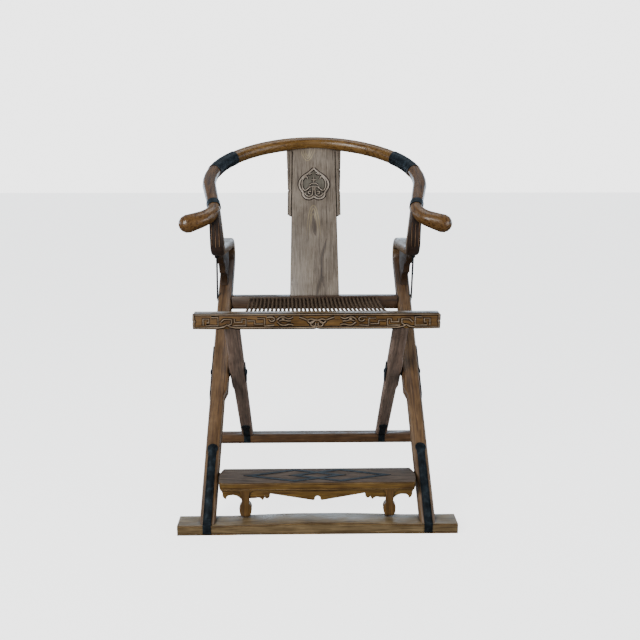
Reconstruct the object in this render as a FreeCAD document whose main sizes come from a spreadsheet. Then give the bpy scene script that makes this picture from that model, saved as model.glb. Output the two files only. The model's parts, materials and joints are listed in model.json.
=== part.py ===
import FreeCAD, Part
import math
import os
from FreeCAD import Placement, Rotation, Vector

# Folding armchair with a horseshoe crest rail, in millimetres.
# X runs to the right as seen from the front, Y to the back and Z up; the floor is Z = 0.
# Two crossed leg frames turn on iron pins; the seat is a row of cords between the top rails.

DIMENSIONS = [
    ("pivot_place", -24.0, "leg pivot from the middle of the chair's depth"),
    ("pivot_height", 328.0, "leg pivot above the floor"),
    ("outer_leg_span", 608.0, "over the outsides of the outer legs"),
    ("outer_foot_width", 40.0, "outer leg at its foot, across the chair"),
    ("gooseneck_width", 45.5, "outer leg at its upper end, across the chair"),
    ("outer_leg_depth", 34.0, "outer leg, square to its run"),
    ("inner_top_width", 42.0, "inner leg at the seat rail, across the chair"),
    ("inner_foot_width", 38.0, "inner leg at its foot, across the chair"),
    ("inner_leg_depth", 32.0, "inner leg, square to its run"),
    ("leg_corner", 9.0, "rounding of the legs' long edges"),
    ("outer_swelling", 8.0, "extra wood of the outer legs at the pivot"),
    ("inner_swelling", 4.0, "extra wood of the inner legs at the pivot"),
    ("swelling_length", 140.0, "full part of a swelling"),
    ("swelling_run", 22.0, "run-out of a swelling at each end"),
    ("tenon_width", 24.0, "tenons, across the chair"),
    ("tenon_depth", 16.0, "tenons, front to back"),
    ("tenon_length", 17.0, "tenons, into their mortises"),
    ("front_floor_reach", 353.0, "front floor rail, ahead of the pivot"),
    ("front_floor_length", 720.0, "front floor rail"),
    ("front_floor_depth", 62.0, "front floor rail"),
    ("front_floor_height", 26.0, "front floor rail at its ends"),
    ("floor_pad_length", 135.0, "flat foot at each end of the front floor rail"),
    ("front_floor_crown", 6.0, "rise of the rail's top between the feet"),
    ("front_floor_hollow", 4.0, "rise of the rail's underside between the feet"),
    ("rear_floor_reach", 309.0, "rear floor rail, behind the pivot"),
    ("rear_floor_length", 668.0, "rear floor rail"),
    ("rear_floor_depth", 40.0, "rear floor rail"),
    ("rear_floor_height", 30.0, "rear floor rail"),
    ("front_seat_reach", 205.0, "front seat rail, ahead of the pivot"),
    ("front_seat_length", 648.0, "front seat rail"),
    ("front_seat_depth", 42.0, "front seat rail"),
    ("front_seat_height", 40.0, "front seat rail"),
    ("cusp_width", 17.0, "each notch in the front seat rail's lower edge"),
    ("cusp_height", 6.0, "each notch in the front seat rail's lower edge"),
    ("cusp_depth", 11.0, "each notch in the front seat rail's lower edge, from its front"),
    ("rear_seat_reach", 203.0, "rear seat rail, behind the pivot"),
    ("rear_seat_depth", 38.0, "rear seat rail"),
    ("rear_seat_height", 40.0, "rear seat rail"),
    ("rail_edge", 3.0, "rounding of the rails' long edges"),
    ("gooseneck_height", 674.0, "forward stretch of the rear post at its back"),
    ("gooseneck_rise", 10.0, "rise of the forward stretch towards the elbow"),
    ("gooseneck_depth", 31.0, "rear post at its elbow, square to its run"),
    ("gooseneck_radius", 40.0, "turn of the rear post at its back"),
    ("elbow_reach", 10.0, "elbow of the rear post, behind the pivot"),
    ("elbow_width", 40.5, "rear post at its elbow, across the chair"),
    ("elbow_inset", 3.0, "rear post's outer face inside the leg's, from its elbow up"),
    ("elbow_radius", 30.0, "turn of the rear post at its elbow"),
    ("post_top_place", 21.0, "top of the rear post, behind the arm's front corner"),
    ("post_top_rise", 10.0, "top of the rear post, over the arm's front corner"),
    ("arm_reach", 28.0, "front corner of the arm, ahead of the pivot"),
    ("arm_height", 789.0, "front corner of the arm"),
    ("arm_place", 279.0, "front corner of the arm, from the middle plane"),
    ("post_top_width", 33.0, "rear post where it meets the arm, across"),
    ("post_top_depth", 29.0, "rear post where it meets the arm, front to back"),
    ("crest_slope", 25.0, "slope of the horseshoe's plane, degrees"),
    ("crest_depth", 484.0, "horseshoe from the posts to its back, in its plane"),
    ("crest_back_radius", 341.0, "round back of the horseshoe"),
    ("crest_back_angle", 49.5, "half the round back, degrees"),
    ("crest_widest", 316.0, "arms' widest centre line, from the middle plane"),
    ("crest_thickness", 40.5, "crest rail around its back"),
    ("arm_thickness", 35.0, "crest rail at the grips"),
    ("crest_station", 30.0, "crest rail's sections, along the rail"),
    ("wrap_place", 340.0, "upper joints, along the rail from its back"),
    ("wrap_length", 112.0, "iron wrap on each upper joint"),
    ("wrap_wall", 1.6, "iron wrap"),
    ("collar_place", 57.0, "grip joints behind the arm's front corner, along the rail"),
    ("collar_length", 13.0, "iron collar on each grip joint"),
    ("grip_straight", 7.0, "grip between its joint and its turn"),
    ("grip_radius", 60.0, "outward turn of a grip"),
    ("grip_turn", 80.0, "outward turn of a grip, degrees"),
    ("grip_reach", 355.0, "middle of a grip's swollen tip, from the middle plane"),
    ("grip_drop", 10.0, "grip's tip below the horseshoe's plane"),
    ("grip_tip_thickness", 51.0, "swollen tip of a grip"),
    ("splat_bottom_width", 155.0, "back splat at the seat rail"),
    ("splat_top_width", 139.0, "back splat at the crest rail"),
    ("splat_thickness", 11.0, "back splat"),
    ("splat_groove", 9.0, "back splat inside the rails"),
    ("flange_length", 240.0, "notched strip on the splat's edge"),
    ("flange_top_width", 20.0, "notched strip at the crest rail"),
    ("flange_bottom_width", 9.0, "notched strip at its lower end"),
    ("flange_thickness", 9.0, "notched strip"),
    ("flange_notch", 4.0, "notches in the strips"),
    ("bracket_thickness", 20.0, "carved bracket under the gooseneck"),
    ("bracket_inset", 8.0, "carved bracket, inside the leg's outer face"),
    ("bracket_drop", 211.0, "bracket's lower tip below the gooseneck's bend, along the leg"),
    ("bracket_reach", 62.0, "bracket's upper tip behind the pivot"),
    ("bracket_lobe", 13.0, "depth of the lobes in the bracket's edge"),
    ("bracket_hole", 12.0, "piercings of the bracket"),
    ("rod_radius", 2.8, "iron brace rod"),
    ("rod_top_reach", 44.0, "brace rod's upper end, behind the pivot"),
    ("rod_top_inset", 17.0, "brace rod's upper end, inside the leg's outer face"),
    ("rod_bottom_reach", 214.0, "brace rod's lower end, behind the pivot"),
    ("rod_eye_radius", 9.0, "flattened lower end of the rod"),
    ("rod_eye_thickness", 3.0, "flattened lower end of the rod"),
    ("pin_radius", 5.0, "leg pivot pins"),
    ("pin_clearance", 0.05, "running fit of pins, on the radius"),
    ("pin_head_radius", 10.0, "domed heads of the pivot pins"),
    ("pin_head_height", 4.0, "domed heads of the pivot pins"),
    ("running_gap", 0.4, "between faces that turn past each other"),
    ("washer_radius", 14.0, "washers between the legs"),
    ("washer_thickness", 1.6, "washers between the legs"),
    ("plate_thickness", 2.0, "iron plates and straps"),
    ("plate_width", 24.0, "pivot plates"),
    ("outer_plate_length", 190.0, "strap plates outside the outer legs"),
    ("inner_plate_length", 104.0, "plates inside the inner legs"),
    ("strap_width", 21.0, "straps down the fronts of the legs"),
    ("front_strap_length", 222.0, "strap on an outer leg, above the floor rail"),
    ("rear_strap_length", 70.0, "strap on an inner leg, above the floor rail"),
    ("strap_foot_gap", 3.0, "strap's lower end above the floor"),
    ("nail_radius", 3.6, "domed nail heads"),
    ("nail_height", 1.6, "domed nail heads"),
    ("footrest_side_gap", 3.5, "footrest board's ends from the legs"),
    ("footrest_depth", 98.0, "footrest board"),
    ("footrest_thickness", 21.0, "footrest board"),
    ("footrest_top", 122.0, "footrest board above the floor"),
    ("footrest_overhang", 13.0, "footrest board behind its pins"),
    ("footrest_ear", 9.0, "rounding of the footrest board's ends"),
    ("footrest_pin_radius", 4.5, "footrest hinge pins"),
    ("footrest_pin_length", 36.0, "footrest hinge pins"),
    ("footrest_pin_in_board", 16.0, "footrest hinge pins inside the board"),
    ("apron_thickness", 12.0, "footrest apron"),
    ("apron_height", 31.0, "footrest apron at its deepest"),
    ("apron_setback", 4.0, "footrest apron behind the board's edge"),
    ("foot_place", 188.0, "footrest feet from the middle plane"),
    ("foot_thickness", 20.0, "footrest feet"),
    ("foot_width", 31.0, "footrest feet at their bulge"),
    ("foot_stand", 0.3, "footrest feet above the floor rail"),
    ("lozenge_length", 272.0, "each of the two linked lozenges"),
    ("lozenge_offset", 60.0, "each lozenge's middle from the middle plane"),
    ("lozenge_depth", 84.0, "lozenges, front to back"),
    ("lozenge_band", 9.0, "bands of the lozenges"),
    ("lozenge_thickness", 1.2, "lozenge plate"),
    ("cord_count", 33, "seat cords"),
    ("cord_spacing", 12.2, "seat cords, middle to middle"),
    ("cord_radius", 3.2, "seat cords"),
    ("cord_sag", 14.0, "seat cords at their middle"),
    ("cord_drop", 6.0, "seat cords' ends below the rails' tops"),
    ("cord_gap", 0.3, "seat cords' ends from the rails"),
    ("overrun", 20.0, "how far cutting shapes run past what they cut"),
]

document = FreeCAD.newDocument("folding_armchair")
sheet = document.addObject("Spreadsheet::Sheet", "dimensions")
for row, (alias, value, meaning) in enumerate(DIMENSIONS, 1):
    sheet.set("A%d" % row, meaning)
    sheet.set("B%d" % row, str(value))
    sheet.setAlias("B%d" % row, alias)
document.recompute()


def size(alias):
    return float(sheet.get(alias))


# Drawing helpers

def outline_edges(corners):
    """Closed outline: a corner (a, b) is reached by a line, (a, b, via_a, via_b) by an arc."""
    edges = []
    for start, end in zip(corners, corners[1:] + corners[:1]):
        first = Vector(start[0], start[1], 0)
        last = Vector(end[0], end[1], 0)
        if len(end) == 4:
            edges.append(Part.Arc(first, Vector(end[2], end[3], 0), last))
        else:
            edges.append(Part.LineSegment(first, last))
    return edges


def mirrored_outline(right):
    """The same corners on the left of the middle line, in the order that closes the outline."""
    ends = [(-corner[0], corner[1]) for corner in right]
    left = [ends[-1]]
    for end, drawn in zip(ends[-2::-1], right[:0:-1]):
        left.append(end + ((-drawn[2], drawn[3]) if len(drawn) == 4 else ()))
    return left


def padded(label, plane, outline, thickness, holes=(), place=None):
    """A body padded both ways from its own origin plane; thickness is an expression."""
    body = document.addObject("PartDesign::Body", label)
    sketch = body.newObject("Sketcher::SketchObject", label + "_outline")
    origin_plane = next(item for item in body.Origin.OriginFeatures if item.Role == plane + "_Plane")
    sketch.AttachmentSupport = [(origin_plane, "")]
    sketch.MapMode = "FlatFace"
    for loop in [outline, *holes]:
        for edge in outline_edges(loop):
            sketch.addGeometry(edge, False)
    pad = body.newObject("PartDesign::Pad", label + "_pad")
    pad.Profile = sketch
    pad.SideType = "Symmetric"
    pad.setExpression("Length", thickness)
    body.Tip = pad
    if place:
        body.Placement = place
    document.recompute()
    return body


def rounded_edges(body, radius, wanted):
    """Round the edges of a body that the test accepts; radius is an expression."""
    names = ["Edge%d" % (number + 1) for number, edge in enumerate(body.Shape.Edges) if wanted(edge)]
    solid_feature = body.Tip
    fillet = body.newObject("PartDesign::Fillet", body.Label + "_rounding")
    fillet.Base = (solid_feature, names)
    fillet.setExpression("Radius", radius)
    body.Tip = fillet
    document.recompute()
    return body


def solid(label, shape):
    item = document.addObject("Part::Feature", label)
    item.Shape = shape
    return item


def set_corner(item, corner):
    for name, expression in zip("xyz", corner):
        item.setExpression("Placement.Base." + name, expression)


def box(label, lengths, corner):
    """A block whose lengths and lowest corner are expressions."""
    item = document.addObject("Part::Box", label)
    for name, expression in zip(("Length", "Width", "Height"), lengths):
        item.setExpression(name, expression)
    set_corner(item, corner)
    return item


def rod_along_x(label, radius, length, corner):
    item = document.addObject("Part::Cylinder", label)
    item.setExpression("Radius", radius)
    item.setExpression("Height", length)
    item.Placement = Placement(Vector(), Rotation(Vector(0, 1, 0), 90))
    set_corner(item, corner)
    return item


def fused(label, parts):
    item = document.addObject("Part::MultiFuse", label)
    item.Shapes = parts
    item.Refine = True
    return item


def cut(label, base, tools):
    item = document.addObject("Part::Cut", label)
    item.Base = base
    item.Tool = tools[0] if len(tools) == 1 else fused(label + "_tools", tools)
    return item


def mirrored(source, label):
    twin = document.addObject("Part::Mirroring", label)
    twin.Source = source
    twin.Normal = Vector(1, 0, 0)
    return twin


def rounded_path(corners, radii):
    """Straight runs between the corners, joined by tangent arcs."""
    edges = []
    start = corners[0]
    for before, corner, after, radius in zip(corners, corners[1:], corners[2:], radii):
        back = (before - corner).normalize()
        ahead = (after - corner).normalize()
        half_angle = back.getAngle(ahead) / 2
        reach = radius / math.tan(half_angle)
        middle = corner + (back + ahead).normalize() * (radius / math.sin(half_angle) - radius)
        edges.append(Part.makeLine(start, corner + back * reach))
        edges.append(Part.Arc(corner + back * reach, middle, corner + ahead * reach).toShape())
        start = corner + ahead * reach
    edges.append(Part.makeLine(start, corners[-1]))
    return edges


def rounded_section(at, along, low, high, depth):
    """Rectangle with softened corners, square to a run in the side plane, from low to high across."""
    across = Vector(1, 0, 0).cross(along)
    corner = size("leg_corner")
    centre = Vector((low + high) / 2, at.y, at.z)
    half_x = (high - low) / 2 - corner
    half_d = depth / 2 - corner
    points = []
    for quarter, (side, level) in enumerate(((1, 1), (-1, 1), (-1, -1), (1, -1))):
        for step in (0, 30, 60, 90):
            angle = math.radians(90 * quarter + step)
            points.append(centre + Vector(side * half_x + corner * math.cos(angle), 0, 0)
                          + across * (level * half_d + corner * math.sin(angle)))
    return Part.makePolygon(points + points[:1])


def ring(point, heading, upward, radius, sides=24):
    """Many-sided ring around a heading, started from the upward side."""
    place = Placement(point, Rotation(upward, Vector(), heading, "ZXY"))
    spots = [place.multVec(Vector(math.cos(angle), math.sin(angle), 0) * radius)
             for angle in (2 * math.pi * index / sides for index in range(sides))]
    return Part.makePolygon(spots + spots[:1])


def swept(section, edge):
    return Part.Wire([edge]).makePipe(Part.Face(section))


# Places that several pieces share

PIVOT = Vector(0, size("pivot_place"), size("pivot_height"))
OUTER_FACE = size("outer_leg_span") / 2
OUTER_HALF_DEPTH = size("outer_leg_depth") / 2
INNER_HALF_DEPTH = size("inner_leg_depth") / 2
OUTER_RUN = Vector(0, size("front_floor_reach"), PIVOT.z - size("front_floor_height")).normalize()
INNER_RUN = Vector(0, -size("rear_floor_reach"), PIVOT.z - size("rear_floor_height")).normalize()
OUTER_UPPER = Vector(0, -OUTER_RUN.z, OUTER_RUN.y)
INNER_UNDER = Vector(0, -INNER_RUN.z, INNER_RUN.y)


def on_outer_leg(y_from_pivot):
    return PIVOT + OUTER_RUN * (y_from_pivot / OUTER_RUN.y)


def on_inner_leg(y_from_pivot):
    return PIVOT + INNER_RUN * (y_from_pivot / INNER_RUN.y)


FRONT_FLOOR = on_outer_leg(-size("front_floor_reach"))
REAR_FLOOR = on_inner_leg(size("rear_floor_reach"))
FRONT_SEAT = on_inner_leg(-size("front_seat_reach"))
REAR_SEAT = on_outer_leg(size("rear_seat_reach"))
FRONT_SEAT_UNDER = FRONT_SEAT.z - size("front_seat_height") / 2
FRONT_SEAT_TOP = FRONT_SEAT.z + size("front_seat_height") / 2
REAR_SEAT_TOP = REAR_SEAT.z + size("rear_seat_height") / 2
BEND = on_outer_leg((size("gooseneck_height") - PIVOT.z) * OUTER_RUN.y / OUTER_RUN.z)


def between(start, end, share):
    return start + (end - start) * share


def along_leg(point, run):
    """Distance of a point along a leg, from the pivot."""
    return (point - PIVOT).dot(run)


def outer_width(place):
    """Width of an outer leg at a distance from the pivot along its run."""
    foot = along_leg(FRONT_FLOOR, OUTER_RUN)
    share = (place - foot) / (along_leg(BEND, OUTER_RUN) - foot)
    return between(size("outer_foot_width"), size("gooseneck_width"), share)


def inner_width(place):
    foot = along_leg(REAR_FLOOR, INNER_RUN)
    share = (place - foot) / (along_leg(FRONT_SEAT, INNER_RUN) - foot)
    return between(size("inner_foot_width"), size("inner_top_width"), share)


OUTER_SWOLLEN = OUTER_FACE - outer_width(0) - size("outer_swelling")
INNER_SWOLLEN = OUTER_SWOLLEN - size("washer_thickness") - size("running_gap")
INNER_X = INNER_SWOLLEN - size("inner_swelling") - inner_width(0) / 2
OUTER_FOOT_X = OUTER_FACE - size("outer_foot_width") / 2

nodes = []


def keep(*items):
    nodes.extend(items)


def keep_group(label, *items):
    """Like pieces that share one node, each with its mirror image."""
    group = document.addObject("Part::Compound", label)
    group.Links = [piece for item in items for piece in (item, mirrored(item, item.Label + "_twin"))]
    keep(group)


def keep_pair(right, name):
    """The right-hand piece and its mirror image, as two nodes."""
    right.Label = name + "_right"
    keep(right, mirrored(right, name + "_left"))


# Rails

def front_floor_blank():
    half = size("front_floor_length") / 2
    pad_end = half - size("floor_pad_length")
    top = size("front_floor_height")
    crown = top + size("front_floor_crown")
    outline = [(-half, 0), (-pad_end, 0), (pad_end, 0, 0, size("front_floor_hollow")), (half, 0),
               (half, top), (pad_end, top), (-pad_end, top, 0, crown), (-half, top)]
    body = padded("front_floor_blank", "XZ", outline, "dimensions.front_floor_depth",
                  place=Placement(Vector(0, FRONT_FLOOR.y, 0), Rotation()))
    return rounded_edges(body, "dimensions.rail_edge",
                         lambda edge: edge.BoundBox.ZMin > top / 2 and edge.BoundBox.XLength > top)


def front_seat_blank():
    half = size("front_seat_length") / 2
    outline = [(half, FRONT_SEAT_UNDER), (half, FRONT_SEAT_TOP), (-half, FRONT_SEAT_TOP),
               (-half, FRONT_SEAT_UNDER)]
    body = padded("front_seat_blank", "XZ", outline, "dimensions.front_seat_depth",
                  place=Placement(Vector(0, FRONT_SEAT.y, 0), Rotation()))
    return rounded_edges(body, "dimensions.rail_edge", lambda edge: edge.BoundBox.XLength > half)


def cusp_cutter(label, x):
    """Pointed notch in the front of the rail's lower edge."""
    width = size("cusp_width") / 2
    low = FRONT_SEAT_UNDER - size("cusp_height")
    peak = FRONT_SEAT_UNDER + size("cusp_height")
    shoulder = FRONT_SEAT_UNDER + size("cusp_height") / 4
    outline = [(x + width, FRONT_SEAT_UNDER), (x, peak, x + width / 3, shoulder),
               (x - width, FRONT_SEAT_UNDER, x - width / 3, shoulder), (x - width, low), (x + width, low)]
    face = FRONT_SEAT.y - size("front_seat_depth") / 2
    return padded(label, "XZ", outline, "2 * dimensions.cusp_depth",
                  place=Placement(Vector(0, face, 0), Rotation()))


def tenon(label, x, point, foot):
    """An upright block around x and a point, with its lower end at a height."""
    return box(label, ("dimensions.tenon_width", "dimensions.tenon_depth", "dimensions.tenon_length"),
               ("%s - dimensions.tenon_width / 2" % x, "%s - dimensions.tenon_depth / 2" % point.y, foot))


def mortised(label, rail, peg):
    """A rail with the holes for a peg and its mirror image."""
    keep(cut(label, rail, [peg, mirrored(peg, label + "_left_peg")]))


front_floor = front_floor_blank()
outer_tenon = tenon("outer_foot_tenon", OUTER_FOOT_X, FRONT_FLOOR,
                    "dimensions.front_floor_height - dimensions.tenon_length")
inner_tenon = tenon("inner_foot_tenon", INNER_X, REAR_FLOOR,
                    "dimensions.rear_floor_height - dimensions.tenon_length")
inner_top_tenon = tenon("inner_top_tenon", INNER_X, FRONT_SEAT, "%s" % FRONT_SEAT_UNDER)
rear_floor = box("rear_floor_blank",
                 ("dimensions.rear_floor_length", "dimensions.rear_floor_depth",
                  "dimensions.rear_floor_height"),
                 ("-dimensions.rear_floor_length / 2",
                  "%s - dimensions.rear_floor_depth / 2" % REAR_FLOOR.y, "0"))
mortised("front_floor_rail", front_floor, outer_tenon)
mortised("rear_floor_rail", rear_floor, inner_tenon)
front_seat = cut("front_seat_notched", front_seat_blank(),
                 [cusp_cutter("left_cusp", -INNER_X), cusp_cutter("middle_cusp", 0),
                  cusp_cutter("right_cusp", INNER_X)])
mortised("front_seat_rail", front_seat, inner_top_tenon)


# Horseshoe crest rail, drawn in its sloping plane by X and the distance behind the posts

SLOPE = math.radians(size("crest_slope"))
ARM_CORNER = PIVOT + Vector(0, -size("arm_reach"), size("arm_height") - PIVOT.z)
BACK_RADIUS = size("crest_back_radius")
BACK_ANGLE = math.radians(size("crest_back_angle"))
SIDE_RADIUS = (size("crest_widest") - BACK_RADIUS * math.sin(BACK_ANGLE)) / (1 - math.sin(BACK_ANGLE))
BACK_CENTRE = (0, size("crest_depth") - BACK_RADIUS)
SIDE_CENTRE = ((BACK_RADIUS - SIDE_RADIUS) * math.sin(BACK_ANGLE),
               BACK_CENTRE[1] + (BACK_RADIUS - SIDE_RADIUS) * math.cos(BACK_ANGLE))
TO_ARM = math.hypot(size("arm_place") - SIDE_CENTRE[0], SIDE_CENTRE[1])
TO_ARM_ANGLE = math.atan2(-SIDE_CENTRE[1], size("arm_place") - SIDE_CENTRE[0])
SIDE_END = math.pi / 2 - TO_ARM_ANGLE - math.acos(SIDE_RADIUS / TO_ARM)
BACK_LENGTH = BACK_RADIUS * BACK_ANGLE
CURVED_LENGTH = BACK_LENGTH + SIDE_RADIUS * (SIDE_END - BACK_ANGLE)
HALF_CREST = CURVED_LENGTH + math.sqrt(TO_ARM ** 2 - SIDE_RADIUS ** 2)
SCARF = size("wrap_place")
GRIP_JOINT = HALF_CREST - size("collar_place")


CREST_UPWARD = Vector(0, -math.sin(SLOPE), math.cos(SLOPE))


def in_crest_plane(x, back):
    return ARM_CORNER + Vector(x, back * math.cos(SLOPE), back * math.sin(SLOPE))


def heading_in_plane(angle):
    """Direction after turning by an angle from the rail's back, where it points to the right."""
    back = -math.sin(angle)
    return Vector(math.cos(angle), back * math.cos(SLOPE), back * math.sin(SLOPE))


def crest_flat(length):
    """X, distance behind the posts and turn, for a length along the right half from its back."""
    if length <= BACK_LENGTH:
        turn = length / BACK_RADIUS
        return BACK_RADIUS * math.sin(turn), BACK_CENTRE[1] + BACK_RADIUS * math.cos(turn), turn
    turn = min(BACK_ANGLE + (length - BACK_LENGTH) / SIDE_RADIUS, SIDE_END)
    straight = max(length - CURVED_LENGTH, 0)
    x = SIDE_CENTRE[0] + SIDE_RADIUS * math.sin(turn) + straight * math.cos(turn)
    back = SIDE_CENTRE[1] + SIDE_RADIUS * math.cos(turn) - straight * math.sin(turn)
    return x, back, turn


def crest_point(length):
    x, back, _ = crest_flat(abs(length))
    return in_crest_plane(math.copysign(x, length), back)


def crest_heading(length):
    return heading_in_plane(math.copysign(crest_flat(abs(length))[2], length))


def crest_radius(length):
    """Even around the back, then tapering along the straight arm to the grip joint."""
    share = max(abs(length) - CURVED_LENGTH, 0) / (GRIP_JOINT - CURVED_LENGTH)
    return between(size("crest_thickness"), size("arm_thickness"), share) / 2


def crest_ring(length, extra=0.0):
    return ring(crest_point(length), crest_heading(length), CREST_UPWARD, crest_radius(length) + extra)


def crest_bar(start, end, extra=0.0):
    """The rail between two lengths, thicker by extra on the radius."""
    steps = max(round((end - start) / size("crest_station")), 1)
    rings = [crest_ring(between(start, end, step / steps), extra) for step in range(steps + 1)]
    return Part.makeLoft(rings, True, True)


def grip_route():
    """Points, headings and radii along a grip, from its joint to the middle of its tip."""
    x, back, angle = crest_flat(GRIP_JOINT + size("grip_straight"))
    radius = size("grip_radius")
    turn = math.radians(size("grip_turn"))
    stops = [(crest_flat(GRIP_JOINT)[0], crest_flat(GRIP_JOINT)[1], angle, 0.0)]
    turn_steps = 5
    for step in range(turn_steps + 1):
        now = angle - turn * step / turn_steps
        stops.append((x + radius * (math.sin(angle) - math.sin(now)),
                      back + radius * (math.cos(angle) - math.cos(now)), now,
                      size("grip_straight") + radius * (angle - now)))
    last_x, last_back, last_angle, passed = stops[-1]
    reach = (size("grip_reach") - last_x) / math.cos(last_angle)
    for share in (0.5, 1):
        stops.append((last_x + reach * share * math.cos(last_angle),
                      last_back - reach * share * math.sin(last_angle), last_angle,
                      passed + reach * share))
    return stops, passed + reach


def grip_shape():
    """Round bar that goes on from the arm over the post, turns outward and swells to its tip."""
    stops, length = grip_route()
    thin = size("arm_thickness") / 2
    thick = size("grip_tip_thickness") / 2
    rings = []
    for x, back, angle, passed in stops:
        share = passed / length
        drop = size("grip_drop") * share ** 2
        fall = 2 * size("grip_drop") * share / length
        point = in_crest_plane(x, back) - CREST_UPWARD * drop
        heading = (heading_in_plane(angle) - CREST_UPWARD * fall).normalize()
        rings.append(ring(point, heading, CREST_UPWARD, between(thin, thick, share ** 1.2)))
    for degrees in (28, 52, 70, 82):
        bend = math.radians(degrees)
        rings.append(ring(point + heading * (thick * math.sin(bend)), heading, CREST_UPWARD,
                          thick * math.cos(bend)))
    return Part.makeLoft(rings, True, True)


centre_blank = solid("crest_centre_blank", crest_bar(-SCARF, SCARF))
side = solid("crest_side", crest_bar(SCARF, GRIP_JOINT))
grip = solid("hand_grip", grip_shape())
keep_pair(side, "crest_side")
keep_group("hand_grips", grip)


# Outer legs: straight from the front floor rail, then a gooseneck up to the arm

def swollen_stops(start, end):
    """Distances from the pivot, each with the share of the swelling there."""
    full = size("swelling_length") / 2
    faded = full + size("swelling_run")
    return [(start, 0), (-faded, 0), (-full, 1), (full, 1), (faded, 0), (end, 0)]


def outer_leg_shape():
    elbow = Vector(0, PIVOT.y + size("elbow_reach"), size("gooseneck_height") + size("gooseneck_rise"))
    top = ARM_CORNER + Vector(0, size("post_top_place"), size("post_top_rise"))
    edges = rounded_path([PIVOT, BEND, elbow, top], [size("gooseneck_radius"), size("elbow_radius")])
    points = [edge.Vertexes[-1].Point for edge in edges]
    forward = (elbow - BEND).normalize()
    upward = (top - elbow).normalize()
    sections = []
    for place, share in swollen_stops(along_leg(FRONT_FLOOR, OUTER_RUN) - size("overrun"),
                                      along_leg(points[0], OUTER_RUN)):
        low = between(OUTER_FACE - outer_width(place), OUTER_SWOLLEN, share)
        sections.append(rounded_section(PIVOT + OUTER_RUN * place, OUTER_RUN, low, OUTER_FACE,
                                        size("outer_leg_depth")))
    leg = Part.makeLoft(sections, True, True)
    wide = OUTER_FACE - outer_width(along_leg(points[0], OUTER_RUN))
    outside = OUTER_FACE - size("elbow_inset")
    narrow = outside - size("elbow_width")
    stretch = [rounded_section(points[1], forward, wide, OUTER_FACE, size("outer_leg_depth")),
               rounded_section(points[2], forward, narrow, outside, size("gooseneck_depth"))]
    upright = [rounded_section(points[3], upward, narrow, outside, size("gooseneck_depth")),
               rounded_section(top, upward, outside - size("post_top_width"), outside,
                               size("post_top_depth"))]
    bend = swept(sections[-1], edges[1])
    turn = swept(stretch[1], edges[3])
    return leg.fuse([bend, Part.makeLoft(stretch, True, True), turn, Part.makeLoft(upright, True, True)])


def foot_cutter(label, x, first_y, depth, height):
    """Everything below a rail's top, around a leg's foot."""
    return box(label,
               ("dimensions.gooseneck_width + 2 * dimensions.overrun",
                "%s + 4 * dimensions.overrun" % depth, "%s + 2 * dimensions.overrun" % height),
               ("%s - dimensions.gooseneck_width / 2 - dimensions.overrun" % x, first_y,
                "-2 * dimensions.overrun"))


outer_blank = solid("outer_leg_blank", outer_leg_shape())
below_front_floor = foot_cutter("below_front_floor_rail", OUTER_FOOT_X,
                                "%s - dimensions.front_floor_depth / 2 - 2 * dimensions.overrun"
                                % FRONT_FLOOR.y,
                                "dimensions.front_floor_depth", "dimensions.front_floor_height")
pin_bore_outer = rod_along_x("pin_bore_outer", "dimensions.pin_radius",
                             "dimensions.gooseneck_width + dimensions.overrun",
                             ("%s - dimensions.overrun / 2" % OUTER_SWOLLEN, "dimensions.pivot_place",
                              "dimensions.pivot_height"))
FOOTREST_PIN_HEIGHT = size("footrest_top") - size("footrest_thickness") / 2
FOOTREST_PIN = on_outer_leg((FOOTREST_PIN_HEIGHT - PIVOT.z) * OUTER_RUN.y / OUTER_RUN.z)
FOOTREST_HALF = OUTER_FACE - outer_width(along_leg(FOOTREST_PIN, OUTER_RUN)) - size("footrest_side_gap")
FOOTREST_PIN_CORNER = ("%s - dimensions.footrest_pin_in_board" % FOOTREST_HALF,
                       "%s" % FOOTREST_PIN.y, "%s" % FOOTREST_PIN.z)
footrest_bore = rod_along_x("footrest_pin_bore",
                            "dimensions.footrest_pin_radius + dimensions.pin_clearance",
                            "dimensions.footrest_pin_length + dimensions.running_gap",
                            FOOTREST_PIN_CORNER)
REAR_SEAT_PLACE = along_leg(REAR_SEAT, OUTER_RUN) + size("rear_seat_height") / 2
REAR_SEAT_END = OUTER_FACE - outer_width(REAR_SEAT_PLACE)
rear_tenon = box("rear_seat_tenon",
                 ("dimensions.tenon_length", "dimensions.tenon_depth", "dimensions.tenon_width"),
                 ("%s" % REAR_SEAT_END, "%s - dimensions.tenon_depth / 2" % REAR_SEAT.y,
                  "%s - dimensions.tenon_width / 2" % REAR_SEAT.z))
outer_cut = cut("outer_leg_cut", outer_blank,
                [below_front_floor, pin_bore_outer, footrest_bore, rear_tenon, grip])
keep_pair(fused("outer_leg", [outer_cut, outer_tenon]), "outer_leg")


# Inner legs: straight from the rear floor rail to the front seat rail

def inner_leg_shape():
    sections = []
    for place, share in swollen_stops(along_leg(REAR_FLOOR, INNER_RUN) - 2 * size("overrun"),
                                      along_leg(FRONT_SEAT, INNER_RUN) + size("overrun")):
        half = inner_width(place) / 2
        high = between(INNER_X + half, INNER_SWOLLEN, share)
        sections.append(rounded_section(PIVOT + INNER_RUN * place, INNER_RUN, INNER_X - half, high,
                                        size("inner_leg_depth")))
    return Part.makeLoft(sections, True, True)


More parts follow.
